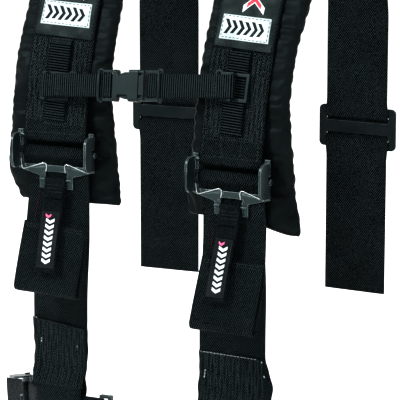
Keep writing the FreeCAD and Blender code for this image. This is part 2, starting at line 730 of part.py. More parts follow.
def build_sternum(straps):
    places = [slider_place(side, strap) for side, strap in zip(SIDES, straps)]
    bars = [Vector(-10, STRAP_BAR_DEPTH, 0), Vector(-1, STRAP_BAR_DEPTH, 0)]
    ends = [place.multVec(bar) for place, bar in zip(places, bars)]
    for side, place, bar in zip(SIDES, places, bars):
        solid_part(side.label("sternum_slider"), slider(bar.x, -side.sign), place)
    along = (ends[1] - ends[0]).normalize()
    up = (places[0].Rotation.multVec(Z_AXIS) + places[1].Rotation.multVec(Z_AXIS)).normalize()
    turn = Rotation(along, Vector(), up, "XZY")
    middle = ends[0] + along * (along.dot(Vector(-11, CHEST_Y, 0) - ends[0]))
    frame = Placement(middle, turn)
    solid_part("buckle_female", buckle_female(), frame)
    solid_part("buckle_male", buckle_male(), frame)
    for word, edge in (("upper", 1), ("lower", -1)):
        solid_part(f"buckle_{word}_arm", buckle_arm(edge), frame)
    for side, end, reach in zip(SIDES, ends, (38.5, 14.5)):
        far = abs(along.dot(end - middle))
        route = loop_start((0, -far), 90, STRAP_WRAP, 16, -1, SEWN_NARROW)
        route.line(far - reach)
        route.loop_end(STRAP_WRAP, 20, -1, SEWN_NARROW)
        turned = Rotation(Vector(0, 0, side.sign), Y_AXIS, Vector(-side.sign, 0, 0), "XYZ")
        strip(side.label("sternum_webbing"), route, frame * Placement(Vector(), turned),
              "narrow_width", -NARROW / 2, NARROW / 2)
    return places, frame


def build_lap(side):
    """The belt bends downwards in its own plane at an elbow, on its way to the hook."""
    plan = lap_frame(side.sign)
    start = lap_inner_route()
    elbow_at, heading = start.follow()[-1][2], math.radians(size("lap_turn") - 90)
    inward = (-math.sin(heading), math.cos(heading))
    ahead = (math.cos(heading), math.sin(heading))
    elbow_at = [elbow_at[i] + ahead[i] * LAP_ELBOW for i in (0, 1)]
    elbow = Vector(0, *elbow_at)
    drop = Rotation(Vector(0, *inward), side.sign * size("lap_drop"))
    turned = Placement(elbow, drop) * Placement(-elbow, Rotation())
    low = plan * turned
    rest = Route([elbow_at[i] - ahead[i] * LAP_MITRE for i in (0, 1)], size("lap_turn") - 90)
    rest.line(LAP_MITRE + 20 - LAP_ELBOW)
    contact = rest.follow()[-1][2]
    rest.loop_end(TOP_WRAP, 5, 1, SEWN)
    start.line(LAP_ELBOW + LAP_MITRE)
    belt = flat_strip(start).fuse(moved_by(flat_strip(rest), turned))
    solid_part(side.label("lap_inner_webbing"), belt, plan)
    bar = [contact[i] + inward[i] * (TOP_WRAP - TOP_BAR.y) + ahead[i] * TOP_BAR.z for i in (0, 1)]
    at = low * Placement(Vector(0, *bar), Rotation(X_AXIS, size("lap_turn")))
    solid_part(side.label("lap_adjuster_frame"), adjuster_frame(), at)
    solid_part(side.label("lap_adjuster_bar"), slide_bar(), at)
    strip(side.label("lap_tail_webbing"), tail_route(8, 46, 0), at)
    outer = loop_start((0, 0), 180, TOP_WRAP, 16, -1, SEWN)
    outer.line(30).arc(80, -size("lap_turn")).line(40)
    stop = [bar[i] + inward[i] * BAR_WRAP + ahead[i] for i in (0, 1)]
    moved = outer.ending_at(stop)
    shift = [moved.start[i] - outer.start[i] for i in (0, 1)]
    strip(side.label("lap_outer_webbing"), moved, low)
    eye = Vector(0, shift[0] + HOOK_REACH, shift[1])
    flat = plan.Rotation.inverted() * Rotation(Y_AXIS, Z_AXIS, X_AXIS, "XYZ")
    hook = low * Placement(eye, flat)
    solid_part(side.label("snap_hook"), snap_hook(), hook)
    solid_part(side.label("hook_gate"), hook_gate(), hook)
    return at, hook


straps = [build_shoulder(side) for side in SIDES]
sliders, sternum = build_sternum(straps)
laps = [build_lap(side) for side in SIDES]
latch = Placement(Vector(0, CHEST_Y - LAP_WRAP, size("lap_height")), Rotation())
solid_part("latch_base", latch_base(), latch)
solid_part("latch_lever", latch_lever(), latch)
solid_part("latch_tongue", latch_tongue(), latch)

doc.recompute()
for obj in doc.Objects:
    if "Invalid" in obj.State or "Error" in obj.State:
        raise RuntimeError(f"{obj.Label} did not recompute: {obj.State}")
for node in NODES:
    if node.Shape.isNull() or not node.Shape.isValid():
        raise RuntimeError(f"{node.Label} has no valid solid")
    if len(node.Shape.Solids) != 1:
        raise RuntimeError(f"{node.Label} has {len(node.Shape.Solids)} solids")
    node.Shape.exportStep(f"parts/{node.Label}.step")
print(len(NODES), "parts")
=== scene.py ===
import json
import math
import bpy
import numpy as np
from mathutils import Matrix, Vector, noise


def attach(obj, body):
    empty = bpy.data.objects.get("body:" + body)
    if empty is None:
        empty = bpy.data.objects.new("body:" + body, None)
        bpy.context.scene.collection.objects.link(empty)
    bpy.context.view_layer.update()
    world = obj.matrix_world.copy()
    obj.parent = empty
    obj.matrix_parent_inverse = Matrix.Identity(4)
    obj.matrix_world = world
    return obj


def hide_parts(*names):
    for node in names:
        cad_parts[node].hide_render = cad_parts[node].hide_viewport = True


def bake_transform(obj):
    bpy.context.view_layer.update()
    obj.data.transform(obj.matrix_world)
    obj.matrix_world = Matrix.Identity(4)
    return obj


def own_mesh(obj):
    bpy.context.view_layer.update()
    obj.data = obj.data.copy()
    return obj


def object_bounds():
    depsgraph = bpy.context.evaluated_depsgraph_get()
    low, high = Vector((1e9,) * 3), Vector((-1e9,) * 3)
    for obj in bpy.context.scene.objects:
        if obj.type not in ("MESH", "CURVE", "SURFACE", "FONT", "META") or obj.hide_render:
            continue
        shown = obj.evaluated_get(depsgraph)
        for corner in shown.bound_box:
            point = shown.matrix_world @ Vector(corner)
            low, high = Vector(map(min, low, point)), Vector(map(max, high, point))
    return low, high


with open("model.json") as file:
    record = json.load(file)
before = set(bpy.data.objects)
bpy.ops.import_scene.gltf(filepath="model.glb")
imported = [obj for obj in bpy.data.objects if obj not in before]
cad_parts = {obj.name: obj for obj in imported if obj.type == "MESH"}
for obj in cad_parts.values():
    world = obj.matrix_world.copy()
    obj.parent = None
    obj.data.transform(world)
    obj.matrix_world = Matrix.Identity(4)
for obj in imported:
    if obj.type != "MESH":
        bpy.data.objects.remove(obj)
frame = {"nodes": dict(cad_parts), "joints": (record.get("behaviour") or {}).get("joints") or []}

CAD_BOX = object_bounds()
MM = 0.001
UV_SPAN = 100  # millimetres of cloth to one unit of its UV map

# Sizes shared with the CAD model, in millimetres and degrees. FACE is how far a wide strap's
# surface is from its middle, a WRAP is the bend round a bar, SEWN is the pitch of two sewn plies
# and a HEIGHTS row is one side's adjuster, the fold of its tail and the top of its lower strap.
THICK, NARROW, WIDE, SLIM = 2.2, 1.6, 76.2, 25.4
FACE, HALF_WIDE = THICK / 2, WIDE / 2
CHEST_Y, SPACING, SIDE_TURN = -178, 217.2, 3
ARCH_R, ARCH_Y = 135, 178
PAD_THICK, PAD_GAP, PAD_EASE, PAD_BACK = 17.6, 0.3, 120, 38
PAD_FOOT_Y, PAD_FOOT_Z, PAD_TAPER, PAD_HALF, PAD_NARROWS = 13, -306, 136, 68, 12
ARCH_Z = -(ARCH_R - FACE - PAD_GAP - PAD_THICK)
SLIDE_Z, SLIDE_PITCH, SLIDE_BEND, SLIDE_TURN, REAR_END_Z = -249, 23, 4.51, 65, -448
LADDER_LOW, LADDER_TOP, LADDER_SKEW, PANEL_LOW, PANEL_LONG = -211, -122, 0.06, -120.5, 148
TOP_WRAP, BAR_WRAP, LOOP_BEND = 4.3, 6.1, 8
TOP_BAR, ROD_AT = (0.9, 17.4), (-1.6, -31)
BAR_Y = TOP_WRAP - TOP_BAR[0]
SEWN, SEWN_NARROW, LEAN = THICK + 0.1, NARROW + 0.1, 10
LAP_Z, LAP_TURN, LAP_DROP, LAP_ELBOW = -561.6, 45, 12, 10
LAP_WRAP, LATCH_BAR, LAP_BEND_X = 3.5, 50, 122
LOWER_LOOP, LOWER_BEND, LOWER_EASE = 6.8, 30, 500
TAIL_BEND, TAIL_EASE, TAIL_LEAN, FOLD_BEND, TAB_LEAN = 13.2, 40, 22, 4.5, 28
STRAP_WRAP, LADDER_OFF = 3.2, 4.5
STRAP_PITCH, LADDER_PITCH, RIB_HEIGHT = 2.6, 2.9, 0.5
HEIGHTS = {"left": {"adjuster": -246.6, "fold": -397.6, "sewn": -434.6},
           "right": {"adjuster": -256.8, "fold": -416.6, "sewn": -452.6}}
SIGNS = {"left": -1, "right": 1}


# ---- routes and ribbons ----
class Route:
    """A planar line of straight runs and tangent arcs, from a start point and a heading."""

    def __init__(self, start, heading):
        self.start, self.heading, self.steps, self.loop = start, heading, [], 0.0

    def line(self, length):
        self.steps.append((length, 0.0))
        return self

    def arc(self, radius, turn):
        self.steps.append((radius * math.radians(abs(turn)), turn))
        return self

    def shift(self, distance, radius):
        """Two equal and opposite bends that carry the line sideways."""
        turn = math.degrees(math.acos(1 - abs(distance) / (2 * radius)))
        turn = math.copysign(turn, distance)
        return self.arc(radius, turn).arc(radius, -turn)

    def length(self):
        return sum(run for run, _ in self.steps)

    def stations(self, step):
        """(distance, a, b, heading in radians) along the line, closer together in the bends."""
        a, b = self.start
        heading, gone = math.radians(self.heading), 0.0
        found = [(0.0, a, b, heading)]
        for run, turn in self.steps:
            parts = max(1, math.ceil(run / step), math.ceil(abs(turn) / 9))
            for _ in range(parts):
                piece, bend = run / parts, math.radians(turn) / parts
                chord = piece if not bend else piece * math.sin(bend / 2) / (bend / 2)
                heading += bend / 2
                a, b = a + chord * math.cos(heading), b + chord * math.sin(heading)
                heading += bend / 2
                gone += piece
                found.append((gone, a, b, heading))
        return found

    def end(self):
        return self.stations(1e9)[-1][1:3]

    def moved(self, shift):
        other = Route((self.start[0] + shift[0], self.start[1] + shift[1]), self.heading)
        other.steps, other.loop = list(self.steps), self.loop
        return other

    def loop_end(self, wrap, length, side, spacing):
        """Wraps the line round a bar and lays it back against itself."""
        spread, _ = loop_spread(wrap, spacing)
        self.arc(wrap, side * (180 + spread)).arc(LOOP_BEND, -side * spread)
        return self.line(length)


def loop_spread(wrap, spacing):
    """How far a sewn loop opens round a bar: its angle, and its length along the strap."""
    across = LOOP_BEND + spacing - wrap
    along = math.sqrt((LOOP_BEND + wrap) ** 2 - across ** 2)
    return math.degrees(math.atan2(along, across)), along


def loop_start(bar, heading, wrap, length, side, spacing):
    """A route that starts with a sewn loop round a bar and leaves it along a heading."""
    spread, along = loop_spread(wrap, spacing)
    h = math.radians(heading)
    ahead, left = (math.cos(h), math.sin(h)), (-math.sin(h), math.cos(h))
    start = tuple(bar[i] - side * left[i] * (wrap - spacing) + ahead[i] * (along + length)
                  for i in (0, 1))
    route = Route(start, heading - side * 180).line(length).arc(LOOP_BEND, -side * spread)
    route.arc(wrap, side * (180 + spread))
    route.loop = route.length()
    return route


class Ribbon:
    """A route in place: finds points beside, on and off a strip that follows it."""

    def __init__(self, route, place, shape=None, warp=None, skew=0.0):
        self.route, self.place, self.shape, self.warp, self.skew = route, place, shape, warp, skew
        self.table = np.array(route.stations(0.8))
        self.total = route.length()

    def at(self, u, s, off=0.0):
        """The world point at u across, s along and off to the left of the line, in metres."""
        s = min(max(s - self.skew * u, 0.0), self.total)
        a, b, h = (np.interp(s, self.table[:, 0], self.table[:, k]) for k in (1, 2, 3))
        if self.shape:
            u, lift = self.shape(u, s)
            off += lift
        local = Vector((u, a - off * math.sin(h), b + off * math.cos(h)))
        if self.warp:
            local = self.warp(local, s)
        return self.place @ (local * MM)

    def height(self, z):
        """How far along the strip first climbs to a height, past its sewn loop."""
        for s, _, b, _ in self.table:
            if s > self.route.loop and b >= z:
                return float(s)
        return self.total


def turned(x_axis, y_axis, z_axis, origin):
    """The placement with these axes, at an origin in millimetres."""
    rows = Matrix((x_axis, y_axis, z_axis)).transposed().to_4x4()
    return Matrix.Translation(Vector(origin) * MM) @ rows


def side_place(side):
    """Where one side's strap stands: on the chest, turned a little outwards."""
    sign = SIGNS[side]
    turn = Matrix.Rotation(math.radians(-sign * SIDE_TURN), 4, "Z")
    return Matrix.Translation(Vector((sign * SPACING / 2, CHEST_Y, 0)) * MM) @ turn


def shifted(place, x, y, z, lean=0.0):
    """A placement moved along its own axes, then leant about its x axis."""
    tilt = Matrix.Rotation(math.radians(lean), 4, "X")
    return place @ Matrix.Translation(Vector((x, y, z)) * MM) @ tilt


def smooth(t):
    """Eases from 0 to 1 while t goes from 0 to 1."""
    t = min(max(t, 0), 1)
    return t * t * (3 - 2 * t)


# ---- mesh builders ----
def new_object(name, points, faces, uvs, mats, indices=None):
    """A smooth mesh object with a UV for every point, linked to the scene."""
    mesh = bpy.data.meshes.new(name)
    mesh.from_pydata([tuple(p) for p in points], [], faces)
    layer = mesh.uv_layers.new(name="UVMap")
    layer.data.foreach_set("uv", [c for face in faces for v in face for c in uvs[v]])
    for mat in mats:
        mesh.materials.append(mat)
    mesh.polygons.foreach_set("use_smooth", [True] * len(faces))
    if indices:
        mesh.polygons.foreach_set("material_index", indices)
    mesh.update()
    obj = bpy.data.objects.new(name, mesh)
    bpy.context.scene.collection.objects.link(obj)
    return obj


def finish_piece(obj, body, slot, *nodes):
    """Gives a piece its body and hides the CAD nodes that it stands for. slot is not used."""
    if body:
        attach(obj, body)
    if nodes:
        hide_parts(*nodes)


def strip(name, ribbon, mat, width=WIDE, thick=THICK, start=0.0, stop=None, off=0.0, step=2.5,
          columns=15, rib=None, edges=None):
    """A woven strip with rounded selvedges. rib = (period, height) raises ribs across it.
    edges(s) gives the low and high edge across it, where they aren't half the width."""
    stop = ribbon.total if stop is None else stop
    if rib:
        count = int((stop - start) / (rib[0] / 4))
        stations = [start + (stop - start) * i / count for i in range(count + 1)]
    else:
        inside = [s for s, *_ in ribbon.route.stations(step) if start < s < stop]
        stations = [start] + inside + [stop]
    even = [2 * i / (columns - 1) - 1 for i in range(columns)]
    across = [0.35 * math.sin(math.pi / 2 * x) + 0.65 * x for x in even]
    points, uvs, ring = [], [], 2 * columns
    for s in stations:
        low, high = edges(s) if edges else (-width / 2, width / 2)
        bulge = rib[1] * 0.5 * (1 + math.cos(2 * math.pi * s / rib[0])) if rib else 0.0
        for side in (1, -1):
            for x in across[::side]:
                u = (low + high) / 2 + x * (high - low) / 2
                crown = max(0.12, (1 - abs(x) ** 10)) ** 0.5
                lift = side * (thick / 2 - (rib[1] / 2 if rib else 0) + bulge) * crown
                points.append(ribbon.at(u, s, off + lift))
                uvs.append((u / UV_SPAN, s / UV_SPAN))
    faces = []
    for i in range(len(stations) - 1):
        for j in range(ring):
            k = (j + 1) % ring
            faces.append((i * ring + j, i * ring + k, (i + 1) * ring + k, (i + 1) * ring + j))
    last = (len(stations) - 1) * ring
    for j in range(columns - 1):
        faces.append((j, ring - 1 - j, ring - 2 - j, j + 1)[::-1])
        faces.append((last + j, last + ring - 1 - j, last + ring - 2 - j, last + j + 1))
    return new_object(name, points, [f[::-1] for f in faces], uvs, [mat])


def stitches(name, runs, mat, length, gap, radius, ribbon, off):
    """Thread stitches along runs of (u, s) points on a ribbon, as small rounded bars."""
    points, faces = [], []
    for run in runs:
        for a, b in zip(run, run[1:]):
            count = max(1, round(math.dist(a, b) / (length + gap)))
            for i in range(count):
                p, q = ((a[0] + (b[0] - a[0]) * t, a[1] + (b[1] - a[1]) * t)
                        for t in ((i + 0.15) / count, (i + 0.85) / count))
                add_stitch(points, faces, ribbon, p, q, off, radius)
    return new_object(name, points, faces, [(p.x, p.z) for p in points], [mat])


def add_stitch(points, faces, ribbon, p, q, off, radius):
    """One stitch from p to q: a four-sided bar with narrow ends."""
    start, end = ribbon.at(*p, off), ribbon.at(*q, off)
    above = ribbon.at((p[0] + q[0]) / 2, (p[1] + q[1]) / 2, off + 1)
    up = (above - (start + end) / 2).normalized()
    side = (end - start).normalized().cross(up) * radius * MM
    up = up * radius * MM
    base = len(points)
    for t, size in ((0, 0.3), (0.22, 1), (0.78, 1), (1, 0.3)):
        centre = start.lerp(end, t)
        for x, y in ((1, 0), (0, 1), (-1, 0), (0, -1)):
            points.append(centre + (side * x + up * y) * size)
    for ring in range(base, base + 12, 4):
        for j in range(4):
            k = (j + 1) % 4
            faces.append((ring + j, ring + k, ring + 4 + k, ring + 4 + j))
    faces += [(base + 3, base + 2, base + 1, base),
              (base + 12, base + 13, base + 14, base + 15)]


def sew(body, slot, *stitching):
    """Stitches with a body of their own; slot is not used. They stand for no CAD node."""
    finish_piece(stitches(*stitching), body, slot)


def bar_piece(name, line, radius, mat):
    """A round bar or bent wire through world points."""
    curve = bpy.data.curves.new(name, "CURVE")
    curve.dimensions, curve.bevel_depth, curve.bevel_resolution = "3D", radius * MM, 3
    spline = curve.splines.new("POLY")
    spline.points.add(len(line) - 1)
    for point, p in zip(spline.points, line):
        point.co = (*p, 1)
    curve.use_fill_caps = True
    obj = bpy.data.objects.new(name, curve)
    mesh = bpy.data.meshes.new_from_object(obj)
    bpy.data.objects.remove(obj)
    mesh.materials.append(mat)
    made = bpy.data.objects.new(name, mesh)
    bpy.context.scene.collection.objects.link(made)
    for poly in mesh.polygons:
        poly.use_smooth = True
    return made


# ---- materials ----
class Nodes:
    """A node material, with short calls for the few nodes used here."""

    def __init__(self, name, colour, rough, **fixed):
        self.mat = bpy.data.materials.new(name)
        self.mat.use_nodes = True
        self.tree = self.mat.node_tree
        self.shader = self.tree.nodes["Principled BSDF"]
        self.shader.inputs["Base Color"].default_value = (*colour, 1)
        self.shader.inputs["Roughness"].default_value = rough
        self.shader.inputs["Specular Tint"].default_value = (0.68, 0.97, 1.0, 1)
        for key, value in fixed.items():
            self.shader.inputs[key.replace("_", " ")].default_value = value
        self.mat.diffuse_color = (*colour, 1)

    def add(self, kind, sockets=None, **settings):
        node = self.tree.nodes.new("ShaderNode" + kind)
        for key, value in settings.items():
            setattr(node, key, value)
        for key, value in (sockets or {}).items():
            if isinstance(value, bpy.types.NodeSocket):
                self.tree.links.new(value, node.inputs[key])
            else:
                node.inputs[key].default_value = value
        return node

    def math(self, operation, a, b=0.0):
        return self.add("Math", {0: a, 1: b}, operation=operation).outputs[0]

    def scaled(self, value, factor, shift=0.0):
        return self.add("Math", {0: value, 1: factor, 2: shift},
                        operation="MULTIPLY_ADD").outputs[0]

    def wave(self, value, period):
        return self.math("SINE", self.scaled(value, 2 * math.pi / period))

    def uv(self):
        node = self.add("SeparateXYZ", {0: self.add("UVMap").outputs[0]})
        return node.outputs[0], node.outputs[1]

    def place(self):
        return self.add("TexCoord").outputs["Object"]

    def noise(self, scale, detail=3.0, rough=0.5):
        sockets = {"Vector": self.place(), "Scale": scale, "Detail": detail, "Roughness": rough}
        return self.add("TexNoise", sockets).outputs[0]

    def ramp(self, value, low, high, dark, light):
        """Runs from dark to light while the value goes from low to high."""
        node = self.add("MapRange", {0: value, 1: low, 2: high}, clamp=True)
        mix = self.add("Mix", {0: node.outputs[0], 6: (*dark, 1), 7: (*light, 1)},
                       data_type="RGBA")
        return mix.outputs[2]

    def mix(self, value, one, two):
        """Mixes two colours or sockets."""
        node = self.add("Mix", {0: value}, data_type="RGBA")
        for key, colour in ((6, one), (7, two)):
            if isinstance(colour, bpy.types.NodeSocket):
                self.tree.links.new(colour, node.inputs[key])
            else:
                node.inputs[key].default_value = (*colour, 1)
        return node.outputs[2]

    def bump(self, height, distance, strength=1.0, normal=None):
        sockets = {"Height": height, "Distance": distance * MM, "Strength": strength}
        if normal:
            sockets["Normal"] = normal
        return self.add("Bump", sockets).outputs[0]

    def set(self, name, value):
        self.tree.links.new(value, self.shader.inputs[name])
        return self


def woven(name, dark, light, pitch, depth, rough=0.5, spec=0.07, glint_share=0.3, rib=0.0):
    """Webbing: offset lozenge floats, pitch in millimetres, with soft patches and painted light
    in its colour: the floats are painted lighter and the hollows between them darker, as
    painted highlight and shade, and bright flecks are painted glints.
    rib paints shade into the grooves between cross ribs of that pitch."""
    m = Nodes(name, dark, rough, Specular_IOR_Level=spec)
    u, v = m.uv()
    lozenge = m.math("MULTIPLY", m.wave(u, pitch / UV_SPAN), m.wave(v, 1.3 * pitch / UV_SPAN))
    height = m.scaled(lozenge, 0.5, 0.5)
    fine, painted_glint = m.noise(2400, 1.0), m.scaled(m.noise(850, 1.0), 2.4, -0.85)
    # Painted highlight and shade: the colour follows the floats' height, lighter on top and darker
    # in the hollows, and bright flecks are painted glints.
    painted_light_and_patches = m.math("ADD", m.scaled(height, 1 - glint_share), m.scaled(painted_glint, glint_share))
    painted_light_and_patches = m.math("ADD", painted_light_and_patches, m.scaled(m.noise(30, 4.0), 0.16, -0.08))
    if rib:
        # Painted shade: the grooves between the cross ribs are darker.
        groove_shade = m.math("COSINE", m.scaled(v, 2 * UV_SPAN * math.pi / rib))
        painted_light_and_patches = m.math("ADD", m.scaled(painted_light_and_patches, 0.6), m.scaled(groove_shade, 0.3, 0.2))
    m.set("Base Color", m.ramp(painted_light_and_patches, 0.42, 0.94, dark, light))
    m.set("Roughness", m.scaled(fine, 0.3, rough - 0.15))
    m.set("Specular IOR Level", m.scaled(painted_light_and_patches, 4.4 * spec, -1.5 * spec))
    first = m.bump(height, depth, 1.0)
    ply = m.math("ADD", fine, m.scaled(m.wave(u, pitch / (2 * UV_SPAN)), 0.3))
    return m.set("Normal", m.bump(ply, depth * 0.3, 0.7, first)).mat


def cloth(name, dark, light, pitch=0.7, rough=0.55, spec=0.12, crease=1.0):
    """Smooth nylon: a very fine weave, soft creases and slightly uneven dye."""
    m = Nodes(name, dark, rough, Specular_IOR_Level=spec)
    weave = m.add("TexVoronoi", {"Vector": m.place(), "Scale": 1000 / pitch}).outputs[0]
    crumple = m.noise(55, 3.0, rough=0.6)
    m.set("Base Color", m.ramp(m.noise(28, 5.0), 0.3, 0.75, dark, light))
    m.set("Roughness", m.ramp(m.noise(60, 3.0), 0.3, 0.7, (rough - 0.08,) * 3,
                              (rough + 0.12,) * 3))
    first = m.bump(crumple, 2.2 * crease, 0.5)
    return m.set("Normal", m.bump(weave, 0.12, 0.5, first)).mat


def mesh_lining(name, dark, light):
    """Air-mesh lining: small open cells in a hexagonal lie."""
    m = Nodes(name, dark, 0.8, Specular_IOR_Level=0.1)
    cells = m.add("TexVoronoi", {"Vector": m.place(), "Scale": 420.0, "Randomness": 0.25},
                  feature="DISTANCE_TO_EDGE").outputs[0]
    m.set("Base Color", m.ramp(cells, 0.02, 0.12, light, dark))
    return m.set("Normal", m.bump(cells, -0.6, 0.8)).mat


def edge_lit_and_worn(name, dark, light, rough, metal, highlight_and_wear, radius=1.0, grain=600.0, spread=0.14,
              spec=0.3):
    """Hard part: fine grain over the faces, and corners painted to a lighter tone, a painted edge
    highlight together with rubbed wear. radius is how far the lighter edge reaches, in millimetres."""
    m = Nodes(name, dark, rough, Metallic=metal, Specular_IOR_Level=spec)
    soft = m.add("Bevel", {"Radius": radius * MM}, samples=6).outputs[0]
    plain = m.add("NewGeometry").outputs["Normal"]
    facing = m.add("VectorMath", {0: soft, 1: plain}, operation="DOT_PRODUCT").outputs["Value"]
    # Painted highlight and wear: the bevel mask lightens the colour along the edges, broken up by
    # patches.
    edge_highlight_and_wear = m.math("SUBTRACT", 1.0, facing)
    edge_highlight_and_wear = m.add("MapRange", {0: edge_highlight_and_wear, 1: 0.02, 2: spread}, clamp=True).outputs[0]
    patchy = m.add("MapRange", {0: m.noise(90, 4.0), 1: 0.3, 2: 0.62}, clamp=True).outputs[0]
    edge_highlight_and_wear = m.math("MULTIPLY", edge_highlight_and_wear, patchy)
    base = m.ramp(m.noise(45, 5.0), 0.3, 0.75, dark, tuple(1.5 * c + 0.004 for c in dark))
    m.set("Base Color", m.mix(m.math("MULTIPLY", edge_highlight_and_wear, highlight_and_wear), base, light))
    m.set("Roughness", m.ramp(m.noise(130, 4.0), 0.25, 0.75, (rough - 0.07,) * 3,
                              (rough + 0.12,) * 3))
    return m.set("Normal", m.bump(m.noise(grain, 2.0), 0.05, 0.35, soft)).mat


def thread(name, dark, light):
    """Sewing thread: uneven in tone, with a fine twist."""
    m = Nodes(name, dark, 0.5, Specular_IOR_Level=0.15)
    m.set("Base Color", m.ramp(m.noise(700, 2.0), 0.38, 0.66, dark, light))
    return m.set("Normal", m.bump(m.noise(3000, 1.0), 0.1, 0.6)).mat


WEB = woven("webbing_weave", (0.0001, 0.0002, 0.0002), (0.025, 0.037, 0.039), 2.7, 1.3)
RIBBED = woven("narrow_weave", (0.0003, 0.0005, 0.0005), (0.014, 0.020, 0.021), 1.3, 0.4)
STRAP_RIB = woven("sternum_weave", (0.0002, 0.0004, 0.0004), (0.017, 0.025, 0.026), 2.0, 0.4,
                  rib=STRAP_PITCH)
LADDER_RIB = woven("ladder_weave", (0.0002, 0.0003, 0.0003), (0.010, 0.015, 0.016), 1.3, 0.3,
                   rib=LADDER_PITCH)
NYLON = cloth("pad_nylon", (0.0007, 0.0010, 0.0010), (0.0026, 0.0034, 0.0036), spec=0.07)
LINING = mesh_lining("pad_air_mesh", (0.002, 0.0026, 0.0027), (0.011, 0.013, 0.0135))
PANEL = cloth("panel_cloth", (0.0008, 0.0011, 0.0011), (0.0030, 0.0040, 0.0042), 0.5, 0.45, 0.08,
              0.5)
PATCH = cloth("patch_cloth", (0.29, 0.355, 0.365), (0.43, 0.50, 0.51), 0.6, 0.6, 0.1, 0.3)
LABEL = cloth("label_cloth", (0.002, 0.002, 0.0024), (0.007, 0.0075, 0.008), 0.6, 0.7, 0.1, 0.15)
MARK = thread("mark_thread", (0.40, 0.45, 0.46), (0.62, 0.66, 0.67))
RED = thread("red_thread", (0.42, 0.008, 0.02), (0.58, 0.02, 0.045))
PINK = thread("pink_thread", (0.55, 0.05, 0.16), (0.72, 0.12, 0.26))
DULL_RED = thread("dull_red_thread", (0.05, 0.004, 0.016), (0.16, 0.012, 0.05))
THREAD = thread("black_thread", (0.0006, 0.0010, 0.0010), (0.034, 0.046, 0.048))
FRAY = thread("frayed_thread", (0.20, 0.25, 0.25), (0.60, 0.64, 0.64))
PLASTIC = edge_lit_and_worn("moulded_plastic", (0.0012, 0.0026, 0.0028), (0.04, 0.06, 0.064), 0.44, 0.0,
                    0.6, 0.7, 900.0, spec=0.19)
STEEL = edge_lit_and_worn("black_steel", (0.0035, 0.0065, 0.007), (0.34, 0.42, 0.42), 0.32, 0.0, 0.9, 0.8)
PLATE = edge_lit_and_worn("satin_plate", (0.0012, 0.0022, 0.0024), (0.12, 0.16, 0.16), 0.40, 0.0, 0.5, 0.7,
                  spec=0.11)
ZINC = edge_lit_and_worn("zinc_plate", (0.005, 0.007, 0.0075), (0.30, 0.33, 0.33), 0.36, 0.2, 0.7, 0.7)
BRIGHT = edge_lit_and_worn("bright_wire", (0.30, 0.34, 0.34), (0.70, 0.74, 0.74), 0.22, 0.9, 0.5, 0.2)


# ---- shoulder straps ----
def arch_arc(point, heading, radius):
    """The angle and turn of the bend from a point and heading on to the shoulder arch."""
    y, drop = point[0] - ARCH_Y, ARCH_Z - point[1]
    s, c = math.sin(math.radians(heading)), math.cos(math.radians(heading))
    arc = (radius ** 2 - y ** 2 - drop ** 2) / (2 * y * s + 2 * drop * c + 2 * radius)
    end = math.atan2((y + arc * s) / (arc - radius), (drop + arc * c) / (arc - radius))
    return arc, heading - math.degrees(end)


def shoulder_route(side):
    """From the adjuster over the arch, through the slide, to the cut rear end."""
    bar = (BAR_Y + TOP_BAR[0], HEIGHTS[side]["adjuster"] + TOP_BAR[1])
    route = loop_start(bar, 90 - LEAN, TOP_WRAP, 32, -1, SEWN).line(36)
    sweep, turn = arch_arc(route.end(), 90 - LEAN, ARCH_R)
    route.arc(sweep, -turn).arc(ARCH_R, -(180 - LEAN - turn))
    drop = 2 * SLIDE_BEND * math.sin(math.radians(SLIDE_TURN))
    top = SLIDE_Z + SLIDE_PITCH / 2 + drop / 2
    route.line(ARCH_Z - top).arc(SLIDE_BEND, SLIDE_TURN).arc(SLIDE_BEND, -SLIDE_TURN)
    route.line(SLIDE_PITCH - drop).arc(SLIDE_BEND, -SLIDE_TURN).arc(SLIDE_BEND, SLIDE_TURN)
    return route.line(top - SLIDE_PITCH - drop - REAR_END_Z), sweep, turn


def pad_route(strap, sweep, turn):
    """The outer surface of a shoulder pad."""
    under, lean = FACE + PAD_GAP, math.radians(90 - LEAN)
    point = next((a, b) for s, a, b, _ in strap.stations(1e9) if s > strap.loop + 1)
    point = (point[0] + under * math.sin(lean), point[1] - under * math.cos(lean))
    sweep -= under
    centre = (point[0] + sweep * math.sin(lean), point[1] - sweep * math.cos(lean))
    across, reach = centre[0] - PAD_FOOT_Y - PAD_EASE, sweep - PAD_EASE
    rise = centre[1] + math.sqrt(reach ** 2 - across ** 2)
    joined = math.degrees(math.asin(across / reach))
    crest = 90 - LEAN - turn
    route = Route((PAD_FOOT_Y, PAD_FOOT_Z), 90).line(rise - PAD_FOOT_Z)
    route.arc(PAD_EASE, joined - 90).arc(sweep, crest - joined)
    return route.arc(ARCH_R - under, -(crest + PAD_BACK))


def lower_route(side):
    """Down from its sewn top, round the lap belt and back up to the adjuster's bar."""
    top, bar_z = HEIGHTS[side]["sewn"], HEIGHTS[side]["adjuster"]
    out, back = LOWER_LOOP - SEWN / 2, BAR_Y + BAR_WRAP - SEWN / 2
    rise = math.sqrt(4 * LOWER_BEND * out - out ** 2)
    climb = math.sqrt(4 * LOWER_EASE * back - back ** 2)
    under, over = LAP_Z - 40, LAP_Z + 42
    route = Route((-SEWN / 2, top), -90).line(top - over - rise).shift(-out, LOWER_BEND)
    route.line(over - under).arc(LOWER_LOOP, 180).line(over - under).shift(out, LOWER_BEND)
    gentle = bar_z - 55 - climb
    route.line(gentle - over - rise).shift(-back, LOWER_EASE)
    return route.line(bar_z - 1 - gentle - climb)


def tail_route(lean, straight):
    """Round the adjuster's bar, out over its plate and down."""
    route = Route((BAR_WRAP, 0), 90).arc(BAR_WRAP, 240).arc(TAIL_BEND, -60).line(24)
    return route.arc(TAIL_EASE, -lean).line(straight)


